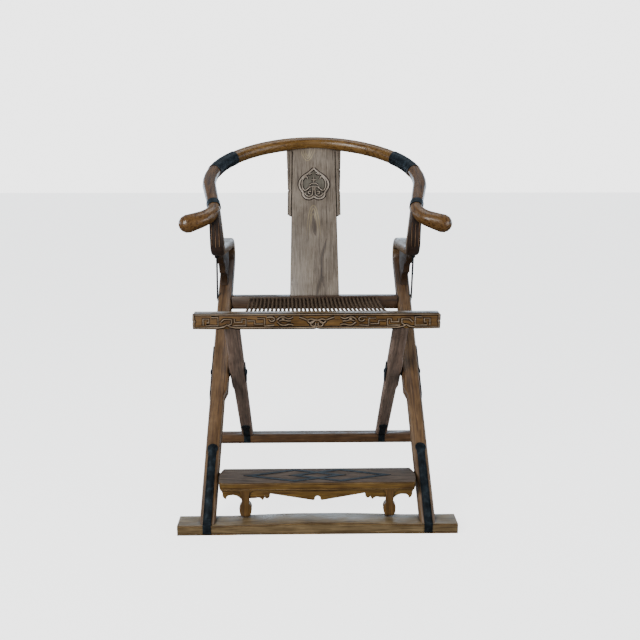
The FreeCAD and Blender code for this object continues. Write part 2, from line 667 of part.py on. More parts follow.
inner_blank = solid("inner_leg_blank", inner_leg_shape())
below_rear_floor = foot_cutter("below_rear_floor_rail", INNER_X,
                               "%s - dimensions.rear_floor_depth / 2" % REAR_FLOOR.y,
                               "dimensions.rear_floor_depth", "dimensions.rear_floor_height")
above_front_seat = box("above_front_seat_rail",
                       ("dimensions.inner_top_width + 2 * dimensions.overrun",
                        "dimensions.front_seat_depth + 4 * dimensions.overrun",
                        "dimensions.front_seat_height + 2 * dimensions.overrun"),
                       ("%s - dimensions.inner_top_width / 2 - dimensions.overrun" % INNER_X,
                        "%s - dimensions.front_seat_depth / 2 - 2 * dimensions.overrun" % FRONT_SEAT.y,
                        "%s" % FRONT_SEAT_UNDER))
pin_bore_inner = rod_along_x("pin_bore_inner", "dimensions.pin_radius + dimensions.pin_clearance",
                             "dimensions.inner_top_width + 2 * dimensions.overrun",
                             ("%s - dimensions.inner_top_width / 2 - dimensions.overrun" % INNER_X,
                              "dimensions.pivot_place", "dimensions.pivot_height"))
inner_cut = cut("inner_leg_cut", inner_blank, [below_rear_floor, above_front_seat, pin_bore_inner])
keep_pair(fused("inner_leg", [inner_cut, inner_tenon, inner_top_tenon]), "inner_leg")


# Back splat and its notched edge strips, drawn flat and then leant back

SPLAT_FOOT = Vector(0, REAR_SEAT.y, REAR_SEAT_TOP - size("splat_groove"))
SPLAT_RUN = crest_point(0) - SPLAT_FOOT
SPLAT_LENGTH = SPLAT_RUN.Length - size("crest_thickness") / 2 + size("splat_groove")
SPLAT_PLACE = Placement(SPLAT_FOOT, Rotation(Vector(0, 0, 1), SPLAT_RUN))


def splat_half_width(height):
    return between(size("splat_bottom_width"), size("splat_top_width"), height / SPLAT_LENGTH) / 2


def splat_body():
    bottom = splat_half_width(0)
    top = splat_half_width(SPLAT_LENGTH)
    outline = [(-bottom, 0), (bottom, 0), (top, SPLAT_LENGTH), (-top, SPLAT_LENGTH)]
    return padded("splat", "XZ", outline, "dimensions.splat_thickness", place=SPLAT_PLACE)


def flange_body():
    foot = SPLAT_LENGTH - size("flange_length")
    notch = size("flange_notch")

    def outer(share):
        width = between(size("flange_bottom_width"), size("flange_top_width"), share)
        return splat_half_width(foot + size("flange_length") * share) + width

    outline = [(splat_half_width(SPLAT_LENGTH), SPLAT_LENGTH), (splat_half_width(foot), foot),
               (outer(0) - notch, foot), (outer(0), foot + notch)]
    notch_shares = (0.36, 0.66)
    for share in notch_shares:
        height = foot + size("flange_length") * share
        outline += [(outer(share), height - notch), (outer(share) - notch, height),
                    (outer(share), height + notch)]
    outline.append((outer(1), SPLAT_LENGTH))
    return padded("splat_flange_blank", "XZ", outline, "dimensions.flange_thickness",
                  place=SPLAT_PLACE)


splat = splat_body()
keep(splat)
keep_pair(cut("splat_flange", flange_body(), [centre_blank]), "splat_flange")
keep(cut("crest_centre", centre_blank, [splat]))

rear_seat_blank = box("rear_seat_blank",
                      ("2 * %s" % REAR_SEAT_END, "dimensions.rear_seat_depth",
                       "dimensions.rear_seat_height"),
                      ("-%s" % REAR_SEAT_END, "%s - dimensions.rear_seat_depth / 2" % REAR_SEAT.y,
                       "%s - dimensions.rear_seat_height / 2" % REAR_SEAT.z))
rear_seat_tenoned = fused("rear_seat_tenoned",
                          [rear_seat_blank, rear_tenon, mirrored(rear_tenon, "rear_seat_tenon_left")])
keep(cut("rear_seat_rail", rear_seat_tenoned, [splat]))


# Iron on the crest rail

def sleeve(label, place, length, inside):
    """A thin sleeve centred on a place along the rail, hollowed by what it holds."""
    outer = solid(label + "_blank", crest_bar(place - length / 2, place + length / 2, size("wrap_wall")))
    keep_group(label + "s", cut(label, outer, inside))


sleeve("crest_wrap", SCARF, size("wrap_length"), [centre_blank, side])
sleeve("grip_collar", GRIP_JOINT, size("collar_length"), [side, grip])


# Carved brackets under the goosenecks and the iron rods that brace them

def bracket_body():
    """Between the forward stretch and the leg, with a lobed free edge around the pivot."""
    under = size("gooseneck_height") - OUTER_HALF_DEPTH - PIVOT.z
    sweep = (BEND - PIVOT).Length - size("bracket_drop")
    along = math.sqrt(sweep ** 2 - OUTER_HALF_DEPTH ** 2)
    low_corner = OUTER_RUN * along + OUTER_UPPER * OUTER_HALF_DEPTH
    top_reach = size("bracket_reach")
    first = math.atan2(under, top_reach)
    last = math.atan2(low_corner.z, low_corner.y)
    top_radius = math.hypot(top_reach, under)
    lobes = 3

    def spot(share, extra):
        angle = between(first, last, share)
        reach = between(top_radius, sweep, share) + extra
        return reach * math.cos(angle), reach * math.sin(angle)

    edge = []
    for lobe in range(lobes):
        edge.append(spot((lobe + 1) / lobes, 0) + spot((lobe + 0.5) / lobes, size("bracket_lobe")))
    deep_in = OUTER_RUN * (along + size("gooseneck_radius") * 2) + OUTER_UPPER * (OUTER_HALF_DEPTH / 2)
    inside = under + OUTER_HALF_DEPTH
    outline = [(top_reach, under)] + edge + [(deep_in.y, deep_in.z), (deep_in.y, inside),
                                             (top_reach, inside)]
    radius = size("bracket_hole") / 2
    holes = []
    hole_shares = (0.5, 0.78)
    for share in hole_shares:
        y, z = spot(share, size("bracket_lobe") + 2 * radius)
        holes.append([(y - radius, z, y, z - radius), (y + radius, z, y, z + radius)])
    x = OUTER_FACE - size("bracket_inset") - size("bracket_thickness") / 2
    return padded("bend_bracket_blank", "YZ", outline, "dimensions.bracket_thickness", holes,
                  Placement(Vector(x, PIVOT.y, PIVOT.z), Rotation()))


bracket_blank = bracket_body()
keep_pair(cut("bend_bracket", bracket_blank, [outer_blank]), "bend_bracket")


def brace_rod_shape():
    radius = size("rod_radius")
    foot = on_outer_leg(size("rod_bottom_reach")) + Vector(OUTER_FACE + radius, 0, 0)
    head = Vector(OUTER_FACE - size("rod_top_inset"), PIVOT.y + size("rod_top_reach"),
                  size("gooseneck_height") + size("gooseneck_rise") - size("gooseneck_depth") / 3)
    bar = Part.makeCylinder(radius, (head - foot).Length, foot, head - foot)
    eye = Part.makeCylinder(size("rod_eye_radius"), size("rod_eye_thickness"),
                            Vector(OUTER_FACE, foot.y, foot.z), Vector(1, 0, 0))
    return bar.fuse(eye)


rod_blank = solid("brace_rod_blank", brace_rod_shape())
keep_group("brace_rods", cut("brace_rod", rod_blank, [outer_blank, bracket_blank]))


# Leg pivots: pins, washers and plates

def dome(radius, height, base, direction):
    """Low cap that stands on a disc, rounded in three steps."""
    sides = 16
    rings = [ring(base + direction * (height * math.sin(bend)), direction, CREST_UPWARD,
                  radius * math.cos(bend), sides)
             for bend in (math.radians(degrees) for degrees in (0, 30, 60, 80))]
    return Part.makeLoft(rings, True, True)


PLATE = size("plate_thickness")
INNER_FACE = INNER_X - inner_width(0) / 2
INNER_PLATE_X = INNER_FACE - PLATE / 2
PIN_IN = Vector(INNER_FACE - PLATE - size("running_gap"), PIVOT.y, PIVOT.z)
PIN_OUT = Vector(OUTER_FACE + PLATE, PIVOT.y, PIVOT.z)
RIGHTWARD = Vector(1, 0, 0)


def pin_shape():
    shaft = Part.makeCylinder(size("pin_radius"), PIN_OUT.x - PIN_IN.x, PIN_IN, RIGHTWARD)
    heads = [dome(size("pin_head_radius"), size("pin_head_height"), PIN_OUT, RIGHTWARD),
             dome(size("pin_head_radius"), size("pin_head_height"), PIN_IN, -RIGHTWARD)]
    return shaft.fuse(heads)


def washer_shape():
    start = Vector(INNER_SWOLLEN + size("running_gap"), PIVOT.y, PIVOT.z)
    disc = Part.makeCylinder(size("washer_radius"), size("washer_thickness"), start, RIGHTWARD)
    return disc.cut(Part.makeCylinder(size("pin_radius"), size("washer_thickness"), start, RIGHTWARD))


def plate_body(label, length, x, run, bore_extra):
    """Strap plate with pointed ends, lying along a leg's side face around the pivot."""
    half = length / 2
    width = size("plate_width") / 2
    outline = [(-half, 0), (width - half, -width), (half - width, -width), (half, 0),
               (half - width, width), (width - half, width)]
    bore = size("pin_radius") + bore_extra
    hole = [(-bore, 0, 0, -bore), (bore, 0, 0, bore)]
    lean = Rotation(RIGHTWARD, math.degrees(math.atan2(run.z, run.y)))
    return padded(label, "YZ", outline, "dimensions.plate_thickness", [hole],
                  Placement(Vector(x, PIVOT.y, PIVOT.z), lean))


keep_group("pivot_pins", solid("pivot_pin", pin_shape()))
keep_group("pivot_washers", solid("pivot_washer", washer_shape()))
keep_pair(plate_body("pivot_plate_outer", size("outer_plate_length"), OUTER_FACE + PLATE / 2,
                     OUTER_RUN, 0), "pivot_plate_outer")
inner_plate = plate_body("pivot_plate_inner_blank", size("inner_plate_length"), INNER_PLATE_X,
                         INNER_RUN, size("pin_clearance"))
keep_pair(cut("pivot_plate_inner", inner_plate, [inner_blank]), "pivot_plate_inner")


# Straps down the legs, over the floor rails

def ribbon(route, thickness):
    """Outline of a strip of even thickness on the left of a route."""
    runs = [(b[0] - a[0], b[1] - a[1]) for a, b in zip(route, route[1:])]
    sides = [(-dz / math.hypot(dy, dz), dy / math.hypot(dy, dz)) for dy, dz in runs]
    offset = []
    for point, before, after in zip(route, sides[:1] + sides, sides + sides[-1:]):
        reach = thickness / (1 + before[0] * after[0] + before[1] * after[1])
        offset.append((point[0] + (before[0] + after[0]) * reach,
                       point[1] + (before[1] + after[1]) * reach))
    return route + offset[::-1]


def strap_body(label, x, route):
    return padded(label, "YZ", ribbon(route, PLATE), "dimensions.strap_width",
                  place=Placement(Vector(x, 0, 0), Rotation()))


def front_strap():
    """Down the leg's upper face, over the floor rail's top and down its front."""
    upper = PIVOT + OUTER_UPPER * OUTER_HALF_DEPTH
    top = size("front_floor_height")
    meets = upper + OUTER_RUN * ((top - upper.z) / OUTER_RUN.z)
    end = meets + OUTER_RUN * size("front_strap_length")
    rail_face = FRONT_FLOOR.y - size("front_floor_depth") / 2
    return strap_body("front_leg_strap_blank", OUTER_FOOT_X,
                      [(rail_face, size("strap_foot_gap")), (rail_face, top), (meets.y, top),
                       (end.y, end.z)])


def rear_strap():
    """Down the inner leg's under face, then down the rear floor rail's front."""
    under = PIVOT + INNER_UNDER * INNER_HALF_DEPTH
    rail_face = REAR_FLOOR.y - size("rear_floor_depth") / 2
    meets = under + INNER_RUN * ((rail_face - under.y) / INNER_RUN.y)
    end = meets + INNER_RUN * size("rear_strap_length")
    return strap_body("rear_leg_strap", INNER_X,
                      [(rail_face, size("strap_foot_gap")), (rail_face, meets.z), (end.y, end.z)])


def nail_shapes():
    """Three nails up each front strap."""
    face = PIVOT + OUTER_UPPER * (OUTER_HALF_DEPTH + PLATE)
    low = face + OUTER_RUN * ((size("front_floor_height") - face.z) / OUTER_RUN.z)
    heads = []
    nail_shares = (0.12, 0.5, 0.95)
    for share in nail_shares:
        base = low + OUTER_RUN * (size("front_strap_length") * share)
        for x in (-OUTER_FOOT_X, OUTER_FOOT_X):
            heads.append(dome(size("nail_radius"), size("nail_height"), base + Vector(x, 0, 0),
                              OUTER_UPPER))
    return Part.makeCompound(heads)


keep_pair(cut("front_leg_strap", front_strap(), [front_floor, outer_blank]), "front_leg_strap")
keep_pair(rear_strap(), "rear_leg_strap")
keep(solid("strap_nails", nail_shapes()))


# Footrest: a board hinged between the outer legs, on a cusped apron and two feet

BOARD_REAR = FOOTREST_PIN.y + size("footrest_overhang")
BOARD_FRONT = BOARD_REAR - size("footrest_depth")
BOARD_MIDDLE = (BOARD_FRONT + BOARD_REAR) / 2
BOARD_UNDER = size("footrest_top") - size("footrest_thickness")


def board_body():
    square_end = FOOTREST_HALF - size("footrest_ear")
    outline = [(square_end, BOARD_REAR, FOOTREST_HALF, BOARD_MIDDLE), (-square_end, BOARD_REAR),
               (-square_end, BOARD_FRONT, -FOOTREST_HALF, BOARD_MIDDLE), (square_end, BOARD_FRONT)]
    return padded("footrest_board_blank", "XY", outline, "dimensions.footrest_thickness",
                  place=Placement(Vector(0, 0, FOOTREST_PIN_HEIGHT), Rotation()))


footrest_pin = rod_along_x("footrest_pin", "dimensions.footrest_pin_radius",
                           "dimensions.footrest_pin_length", FOOTREST_PIN_CORNER)
keep_group("footrest_pins", footrest_pin)
keep(cut("footrest_board", board_body(), [footrest_pin, mirrored(footrest_pin, "left_pin_cut")]))

# Right side of a foot, from the floor rail up: shares of its half width and of its height
FOOT_SHARES = [(0.6, 0.0), (1.0, 0.24, 0.9, 0.09), (0.62, 0.5, 0.96, 0.4), (0.7, 0.7, 0.6, 0.6),
               (1.3, 1.0, 0.85, 0.93)]
# Lower edge of the apron's right half from the middle: shares of its half length and its height
APRON_SHARES = [(0.0, 0.55), (0.03, 0.72, 0.012, 0.58), (0.055, 0.93, 0.035, 0.9), (0.5, 0.3),
                (0.51, 0.72, 0.495, 0.5), (0.55, 0.6, 0.53, 0.75), (0.575, 0.9, 0.56, 0.8),
                (0.64, 0.72, 0.6, 0.7), (0.8, 0.75), (0.9, 0.45, 0.84, 0.5), (0.95, 0.8, 0.93, 0.5),
                (0.985, 0.3, 0.98, 0.6)]


def shaped(shares, width, base, height):
    """Corners of a right half from shares of a width and of a height above or below a base."""
    return [tuple(share[i] * width if i % 2 == 0 else base + share[i] * height
                  for i in range(len(share))) for share in shares]


def rail_top_at(x):
    """Height of the crowned top of the front floor rail."""
    pad_end = size("front_floor_length") / 2 - size("floor_pad_length")
    return size("front_floor_height") + size("front_floor_crown") * (1 - (x / pad_end) ** 2)


def foot_body():
    low = rail_top_at(size("foot_place") - size("foot_width") / 2) + size("foot_stand")
    right = shaped(FOOT_SHARES, size("foot_width") / 2, low, BOARD_UNDER - low)
    place = Vector(size("foot_place"), BOARD_FRONT + size("foot_thickness") / 2, 0)
    return padded("footrest_foot_blank", "XZ", right + mirrored_outline(right), "dimensions.foot_thickness",
                  place=Placement(place, Rotation()))


def apron_body():
    half = FOOTREST_HALF - size("footrest_ear")
    right = shaped(APRON_SHARES, half, BOARD_UNDER, -size("apron_height"))
    left = mirrored_outline(right)
    outline = right[1:] + [(half, BOARD_UNDER), (-half, BOARD_UNDER)] + left
    place = Vector(0, BOARD_FRONT + size("apron_setback") + size("apron_thickness") / 2, 0)
    return padded("footrest_apron_blank", "XZ", outline, "dimensions.apron_thickness",
                  place=Placement(place, Rotation()))


apron = apron_body()
apron.Label = "footrest_apron"
keep(apron)
keep_group("footrest_feet", cut("footrest_foot", foot_body(), [apron]))


def lozenge_shape():
    """Two linked lozenges of flat iron band on top of the board."""
    half_x = size("lozenge_length") / 2
    half_y = size("lozenge_depth") / 2
    band = size("lozenge_band")
    steep = math.atan2(half_y, half_x)
    rings = []
    for centre in (-size("lozenge_offset"), size("lozenge_offset")):
        diamonds = []
        for dx, dy in ((half_x, half_y), (half_x - band / math.sin(steep),
                                          half_y - band / math.cos(steep))):
            corners = [(centre - dx, BOARD_MIDDLE), (centre, BOARD_MIDDLE - dy),
                       (centre + dx, BOARD_MIDDLE), (centre, BOARD_MIDDLE + dy)]
            wire = Part.Wire([edge.toShape() for edge in outline_edges(corners)])
            wire.translate(Vector(0, 0, size("footrest_top")))
            diamonds.append(Part.Face(wire).extrude(Vector(0, 0, size("lozenge_thickness"))))
        rings.append(diamonds[0].cut(diamonds[1]))
    return rings[0].fuse(rings[1]).removeSplitter()


keep(solid("lozenge_plates", lozenge_shape()))


# Rope seat: parallel six-sided cords that sag between the two seat rails

def cord_shapes():
    rear = Vector(0, REAR_SEAT.y - size("rear_seat_depth") / 2 - size("cord_gap"),
                  REAR_SEAT_TOP - size("cord_drop"))
    front = Vector(0, FRONT_SEAT.y + size("front_seat_depth") / 2 + size("cord_gap"),
                   FRONT_SEAT_TOP - size("cord_drop"))
    middle = (rear + front) / 2 - Vector(0, 0, size("cord_sag"))
    arc = Part.Arc(rear, middle, front).toShape()
    strand_steps = 5
    sides = 6
    rings = []
    for step in range(strand_steps + 1):
        at = arc.valueAt(between(arc.FirstParameter, arc.LastParameter, step / strand_steps))
        corners = [at + Vector(math.cos(angle), 0, math.sin(angle)) * size("cord_radius")
                   for angle in (2 * math.pi * index / sides for index in range(sides))]
        rings.append(Part.makePolygon(corners + corners[:1]))
    strand = Part.makeLoft(rings, True, True)
    count = int(size("cord_count"))
    strands = []
    for index in range(count):
        strand_copy = strand.copy()
        strand_copy.translate(RIGHTWARD * ((index - (count - 1) / 2) * size("cord_spacing")))
        strands.append(strand_copy)
    return Part.makeCompound(strands)


keep(solid("rope_seat", cord_shapes()))


# Check every object, then write each piece

document.recompute()
faults = [item.Label for item in document.Objects if "Invalid" in item.State or "Error" in item.State]
for node in nodes:
    if node.Shape.isNull() or not node.Shape.isValid() or not node.Shape.Solids:
        faults.append(node.Label)
if faults:
    raise RuntimeError("pieces that failed: " + ", ".join(sorted(set(faults))))

os.makedirs("parts", exist_ok=True)
for node in nodes:
    node.Shape.exportStep(os.path.join("parts", node.Label + ".step"))
print("%d pieces written" % len(nodes))
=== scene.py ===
import json
import math

import bpy
from mathutils import Matrix, Vector

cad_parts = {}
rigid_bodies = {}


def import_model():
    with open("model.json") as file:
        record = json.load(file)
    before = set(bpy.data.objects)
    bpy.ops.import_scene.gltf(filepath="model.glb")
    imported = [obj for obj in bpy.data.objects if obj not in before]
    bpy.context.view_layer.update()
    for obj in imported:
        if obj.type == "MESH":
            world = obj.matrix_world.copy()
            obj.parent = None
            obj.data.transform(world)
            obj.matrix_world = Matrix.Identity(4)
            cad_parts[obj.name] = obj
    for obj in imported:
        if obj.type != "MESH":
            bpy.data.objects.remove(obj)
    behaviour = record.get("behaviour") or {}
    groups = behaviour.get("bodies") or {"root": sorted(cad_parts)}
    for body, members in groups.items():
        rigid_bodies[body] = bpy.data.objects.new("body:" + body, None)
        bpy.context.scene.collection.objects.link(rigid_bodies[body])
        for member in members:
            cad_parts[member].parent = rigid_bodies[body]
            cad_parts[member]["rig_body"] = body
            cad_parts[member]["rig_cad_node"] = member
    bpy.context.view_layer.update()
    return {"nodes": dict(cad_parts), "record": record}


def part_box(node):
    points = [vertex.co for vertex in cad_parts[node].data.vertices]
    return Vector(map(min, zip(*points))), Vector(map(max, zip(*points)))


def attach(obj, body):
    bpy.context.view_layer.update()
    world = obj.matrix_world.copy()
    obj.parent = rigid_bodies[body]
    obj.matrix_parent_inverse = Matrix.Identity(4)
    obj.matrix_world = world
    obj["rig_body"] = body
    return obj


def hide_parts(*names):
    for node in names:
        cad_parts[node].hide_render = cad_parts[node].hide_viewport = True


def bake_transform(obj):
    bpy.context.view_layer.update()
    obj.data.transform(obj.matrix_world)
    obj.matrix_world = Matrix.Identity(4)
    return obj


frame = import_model()

bl_info = {
    "name": "Folding horseshoe back armchair",
    "version": (1, 0, 0),
    "blender": (4, 5, 0),
    "location": "View3D > Sidebar > Armchair",
    "description": "Dresses a folding horseshoe back armchair in worn elm, iron and rope",
    "category": "Object",
}

MM = 0.001
WOOD, IRON, ROPE = "elm_wood", "wrought_iron", "hemp_rope"
BACK, SEAT, FOOTREST = "back_frame", "seat_frame", "footrest"
SIDES = (("left", -1), ("right", 1))
ACROSS = Vector((1, 0, 0))

# Places on the frame

# Runs in the side plane: outer legs from front foot to gooseneck, inner legs from rear foot to rail
OUTER_RUN = Vector((0, 353, 302)).normalized()
INNER_RUN = Vector((0, -309, 298)).normalized()
# Middle and run of the right-hand collar at the root of the hand grip
COLLAR = Vector((0.29, -0.0013, 0.8126))
COLLAR_RUN = Vector((0.1934, 0.8893, 0.4144)).normalized()


def face_on(node, height, x=0.0):
    """Frame on a CAD node's front face: X across, Y up the face and Z out of it.

    x is where the face is looked for, from a metre in front. The frame's middle stays on the
    chair's."""
    found, place, outward, _ = frame["nodes"][node].ray_cast((x, -1, height), (0, 1, 0))
    if not found:
        raise RuntimeError(node + " has no front face at that height")
    turn = Matrix((ACROSS, outward.cross(ACROSS), outward)).transposed()
    return Matrix.Translation((0, place.y, place.z)) @ turn.to_4x4()


def front_of(node):
    """Frame on an upright front: X across, Y up from the node's foot and Z out towards the front."""
    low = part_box(node)[0]
    return Matrix.Translation((0, low.y, low.z)) @ Matrix.Rotation(math.radians(90), 4, "X")


# Heights of the middles of the frames on the splat and on the fronts of the arm posts
SPLAT_MIDDLE, POST_MIDDLE = 0.75, 0.742
SPLAT_FACE = face_on("splat", SPLAT_MIDDLE)
POST_PLACE = 0.285
POST_FACES = {side: face_on("outer_leg_" + side, POST_MIDDLE, sign * POST_PLACE)
              for side, sign in SIDES}
# The splat's edge strips are found a little higher, and their frames are moved to SPLAT_MIDDLE
FLANGE_HEIGHT = 0.8
FLANGE_PLACE = 79 * MM
FLANGE_SLIDE = Matrix.Translation((0, (SPLAT_MIDDLE - FLANGE_HEIGHT) / SPLAT_FACE.col[1].z, 0))
FLANGE_FACES = {side: face_on("splat_flange_" + side, FLANGE_HEIGHT, sign * FLANGE_PLACE) @ FLANGE_SLIDE
                for side, sign in SIDES}


# Settings

class WoodSettings(bpy.types.PropertyGroup):
    """Colours and wear of the elm"""
    light: bpy.props.StringProperty(
        name="Light wood", description="Worn, oiled elm, sRGB hex", default="8a6c34")
    middle: bpy.props.StringProperty(
        name="Middle wood", description="Elm between its growth rings, sRGB hex", default="684b22")
    dark: bpy.props.StringProperty(
        name="Dark wood", description="Late growth and pores, sRGB hex", default="2c1b0c")
    edge: bpy.props.FloatProperty(
        name="Edge wear", description="Rounding of the boards' arrises", default=1.6 * MM,
        unit="LENGTH")


class CarvingSettings(bpy.types.PropertyGroup):
    """Size of the carved lines and place of the medallion"""
    bead: bpy.props.FloatProperty(
        name="Bead", description="Half the width of a carved line", default=1.8 * MM, unit="LENGTH")
    medallion: bpy.props.FloatProperty(
        name="Medallion height", description="Middle of the splat's medallion above the floor",
        default=867 * MM, unit="LENGTH")


class RopeSettings(bpy.types.PropertyGroup):
    """Number, size and hang of the seat's cords"""
    count: bpy.props.IntProperty(
        name="Cords", description="Cords between the seat rails", default=34)
    width: bpy.props.FloatProperty(
        name="Width", description="First cord to last cord", default=396 * MM, unit="LENGTH")
    skew: bpy.props.FloatProperty(
        name="Skew", description="Sideways drift of the cords from the middle to each end",
        default=4 * MM, unit="LENGTH")
    sag: bpy.props.FloatProperty(
        name="Sag", description="Dip of a cord at its middle", default=14 * MM, unit="LENGTH")
    radius: bpy.props.FloatProperty(
        name="Radius", description="Radius of a laid cord", default=3.9 * MM, unit="LENGTH")
    lay: bpy.props.FloatProperty(
        name="Lay", description="Length of one full turn of the strands", default=17 * MM,
        unit="LENGTH")


class StageSettings(bpy.types.PropertyGroup):
    """Colours and brightness of the studio"""
    floor: bpy.props.StringProperty(
        name="Floor", description="Pale studio floor, sRGB hex", default="f4f4f2")
    bounce: bpy.props.StringProperty(
        name="Bounce", description="Floor as the chair's undersides see it, sRGB hex",
        default="7c7874")
    brightness: bpy.props.FloatProperty(
        name="Brightness", description="Strength of the studio's surround", default=3.4)


# Materials

def linear(code):
    """Linear RGBA of an sRGB hex colour."""
    channels = [int(code[i:i + 2], 16) / 255 for i in (0, 2, 4)]
    return tuple(c / 12.92 if c <= 0.04045 else ((c + 0.055) / 1.055) ** 2.4 for c in channels) + (1,)


def add_node(tree, kind, inputs=None, stops=(), **options):
    """A node with its options set, its inputs given values or linked, and a colour ramp's stops."""
    node = tree.nodes.new("ShaderNode" + kind)
    for name, value in options.items():
        setattr(node, name, value)
    for name, value in (inputs or {}).items():
        if isinstance(value, bpy.types.NodeSocket):
            tree.links.new(value, node.inputs[name])
        else:
            node.inputs[name].default_value = value
    if stops:
        elements = node.color_ramp.elements
        while len(elements) < len(stops):
            elements.new(1)
        for element, (position, colour) in zip(elements, stops):
            element.position = position
            element.color = colour
    return node


def new_material(name):
    """A new material with its node tree and shader."""
    material = bpy.data.materials.new(name)
    material.use_nodes = True
    tree = material.node_tree
    return material, tree, tree.nodes["Principled BSDF"]


WHITE = (1, 1, 1, 1)
# Width and length of elm's growth bands, streaks and pores, in millimetres
BANDS, STREAKS, PORES = (7.0, 98.0), (2.4, 72.0), (0.9, 24.0)
# Tints that the streaks, pores, wear, and painted shade with old dirt in corners lay over the bands, as
# colour stops
STREAK_TINTS = ((0.36, (0.5, 0.46, 0.42, 1)), (0.6, (1.12, 1.1, 1.06, 1)))
PORE_TINTS = ((0.34, (0.3, 0.27, 0.24, 1)), (0.42, WHITE))
WEAR_TINTS = ((0.35, (0.62, 0.58, 0.54, 1)), (0.62, (1.08, 1.06, 1.04, 1)))
DIRT_AND_SHADE_TINTS = ((0.4, (0.12, 0.1, 0.09, 1)), (0.9, WHITE))
# How much of each tint shows; the streaks also show more on pitted wood
STREAK_SHARE, WEAR_SHARE, DIRT_AND_SHADE_SHARE = 0.35, 0.7, 0.9
# Scale of the worn patches, which are about 70 mm across
PATCH_SCALE = 14.0


def elm_material(name, turn, colours, finish, fine, patches, hollows):
    """Hand-planed elm under old oil: bold growth bands, open dark pores and a rubbed sheen.

    turn is the rotation that brings the grain on to Z, finish a row like OILED, fine narrows the
    bands, patches are tints by height, and hollows is how far painted shade and old dirt reach
    out of corners."""
    rough, specular, pitted = finish
    light, middle, dark = (linear(code) for code in colours)
    material, tree, shader = new_material(name)
    place = add_node(tree, "TexCoord").outputs["Object"]
    along = add_node(tree, "Mapping", {"Vector": place, "Rotation": turn}).outputs["Vector"]

    def stretched(width, length, detail, roughness):
        """Noise in patches of a width and length in millimetres, along the grain."""
        scale = (1 / (width * MM), 1 / (width * MM), 1 / (length * MM))
        scaled = add_node(tree, "Mapping", {"Vector": along, "Scale": scale}).outputs["Vector"]
        return add_node(tree, "TexNoise", {"Vector": scaled, "Scale": 1.0, "Detail": detail,
                                           "Roughness": roughness}).outputs["Fac"]

    bands = stretched(BANDS[0] / fine, BANDS[1], 3.0, 0.55)
    streaks = stretched(STREAKS[0] / fine, STREAKS[1], 4.0, 0.62)
    pores = stretched(*PORES, 2.0, 0.5)
    patina = add_node(tree, "TexNoise", {"Vector": place, "Scale": PATCH_SCALE, "Detail": 5.0,
                                         "Roughness": 0.6}).outputs["Fac"]
    # Ambient occlusion: painted shade in corners and under parts, together with old dirt
    hollow = add_node(tree, "AmbientOcclusion", {"Distance": hollows}, samples=6).outputs["AO"]
    layers = [(streaks, STREAK_TINTS, STREAK_SHARE + pitted), (pores, PORE_TINTS, pitted),
              (patina, WEAR_TINTS, WEAR_SHARE), (hollow, DIRT_AND_SHADE_TINTS, DIRT_AND_SHADE_SHARE)]
    # Tints by height: on the outer legs these hold a painted reflection on the goosenecks
    if patches:
        height = add_node(tree, "SeparateXYZ", {0: place}).outputs["Z"]
        layers.insert(-1, (height, patches, 1.0))
    ring_stops = ((0.18, dark), (0.4, middle), (0.56, light), (0.72, middle))
    colour = add_node(tree, "ValToRGB", {"Fac": bands}, ring_stops).outputs["Color"]
    for factor, stops, share in layers:
        tint = add_node(tree, "ValToRGB", {"Fac": factor}, stops).outputs["Color"]
        colour = add_node(tree, "Mix", {0: share, 6: colour, 7: tint}, data_type="RGBA",
                          blend_type="MULTIPLY").outputs[2]
    tree.links.new(colour, shader.inputs["Base Color"])
    shine = add_node(tree, "MapRange", {"Value": patina, "From Min": 0.3, "From Max": 0.7,
                                        "To Min": rough - 0.1, "To Max": rough + 0.14})
    tree.links.new(shine.outputs["Result"], shader.inputs["Roughness"])
    relief = add_node(tree, "Math", {0: streaks, 1: pores}, operation="ADD").outputs[0]
    bump = add_node(tree, "Bump", {"Height": relief, "Strength": 0.28, "Distance": 0.6 * MM})
    tree.links.new(bump.outputs["Normal"], shader.inputs["Normal"])
    shader.inputs["Specular IOR Level"].default_value = specular
    return material


# Size of the hammer marks in the iron, and the scale of its tarnish, in clouds about 18 mm across
HAMMER_MARK = 12 * MM
TARNISH_SCALE = 55.0


def iron_material():
    """Forged iron, blackened and waxed: blue-black, faintly hammered, browner where rust starts."""
    material, tree, shader = new_material("blackened_wrought_iron")
    place = add_node(tree, "TexCoord").outputs["Object"]
    cloud = add_node(tree, "TexNoise", {"Vector": place, "Scale": TARNISH_SCALE, "Detail": 6.0,
                                        "Roughness": 0.65}).outputs["Fac"]
    stops = ((0.32, linear("151b20")), (0.5, linear("222b32")), (0.66, linear("3a4750")),
             (0.8, linear("2e2822")))
    colour = add_node(tree, "ValToRGB", {"Fac": cloud}, stops).outputs["Color"]
    tree.links.new(colour, shader.inputs["Base Color"])
    shader.inputs["Metallic"].default_value = 0.6
    rough = add_node(tree, "MapRange", {"Value": cloud, "To Min": 0.3, "To Max": 0.66})
    tree.links.new(rough.outputs["Result"], shader.inputs["Roughness"])
    marks = add_node(tree, "TexVoronoi", {"Vector": place, "Scale": 1 / HAMMER_MARK},
                     feature="SMOOTH_F1").outputs["Distance"]
    bump = add_node(tree, "Bump", {"Height": marks, "Strength": 0.15, "Distance": 0.7 * MM})
    tree.links.new(bump.outputs["Normal"], shader.inputs["Normal"])
    return material


# Hemp's fibres are 0.4 mm thick, and are drawn 1.2 mm so that they show
FIBRE_WIDTH, FIBRE_LENGTH = 1.2 * MM, 6 * MM


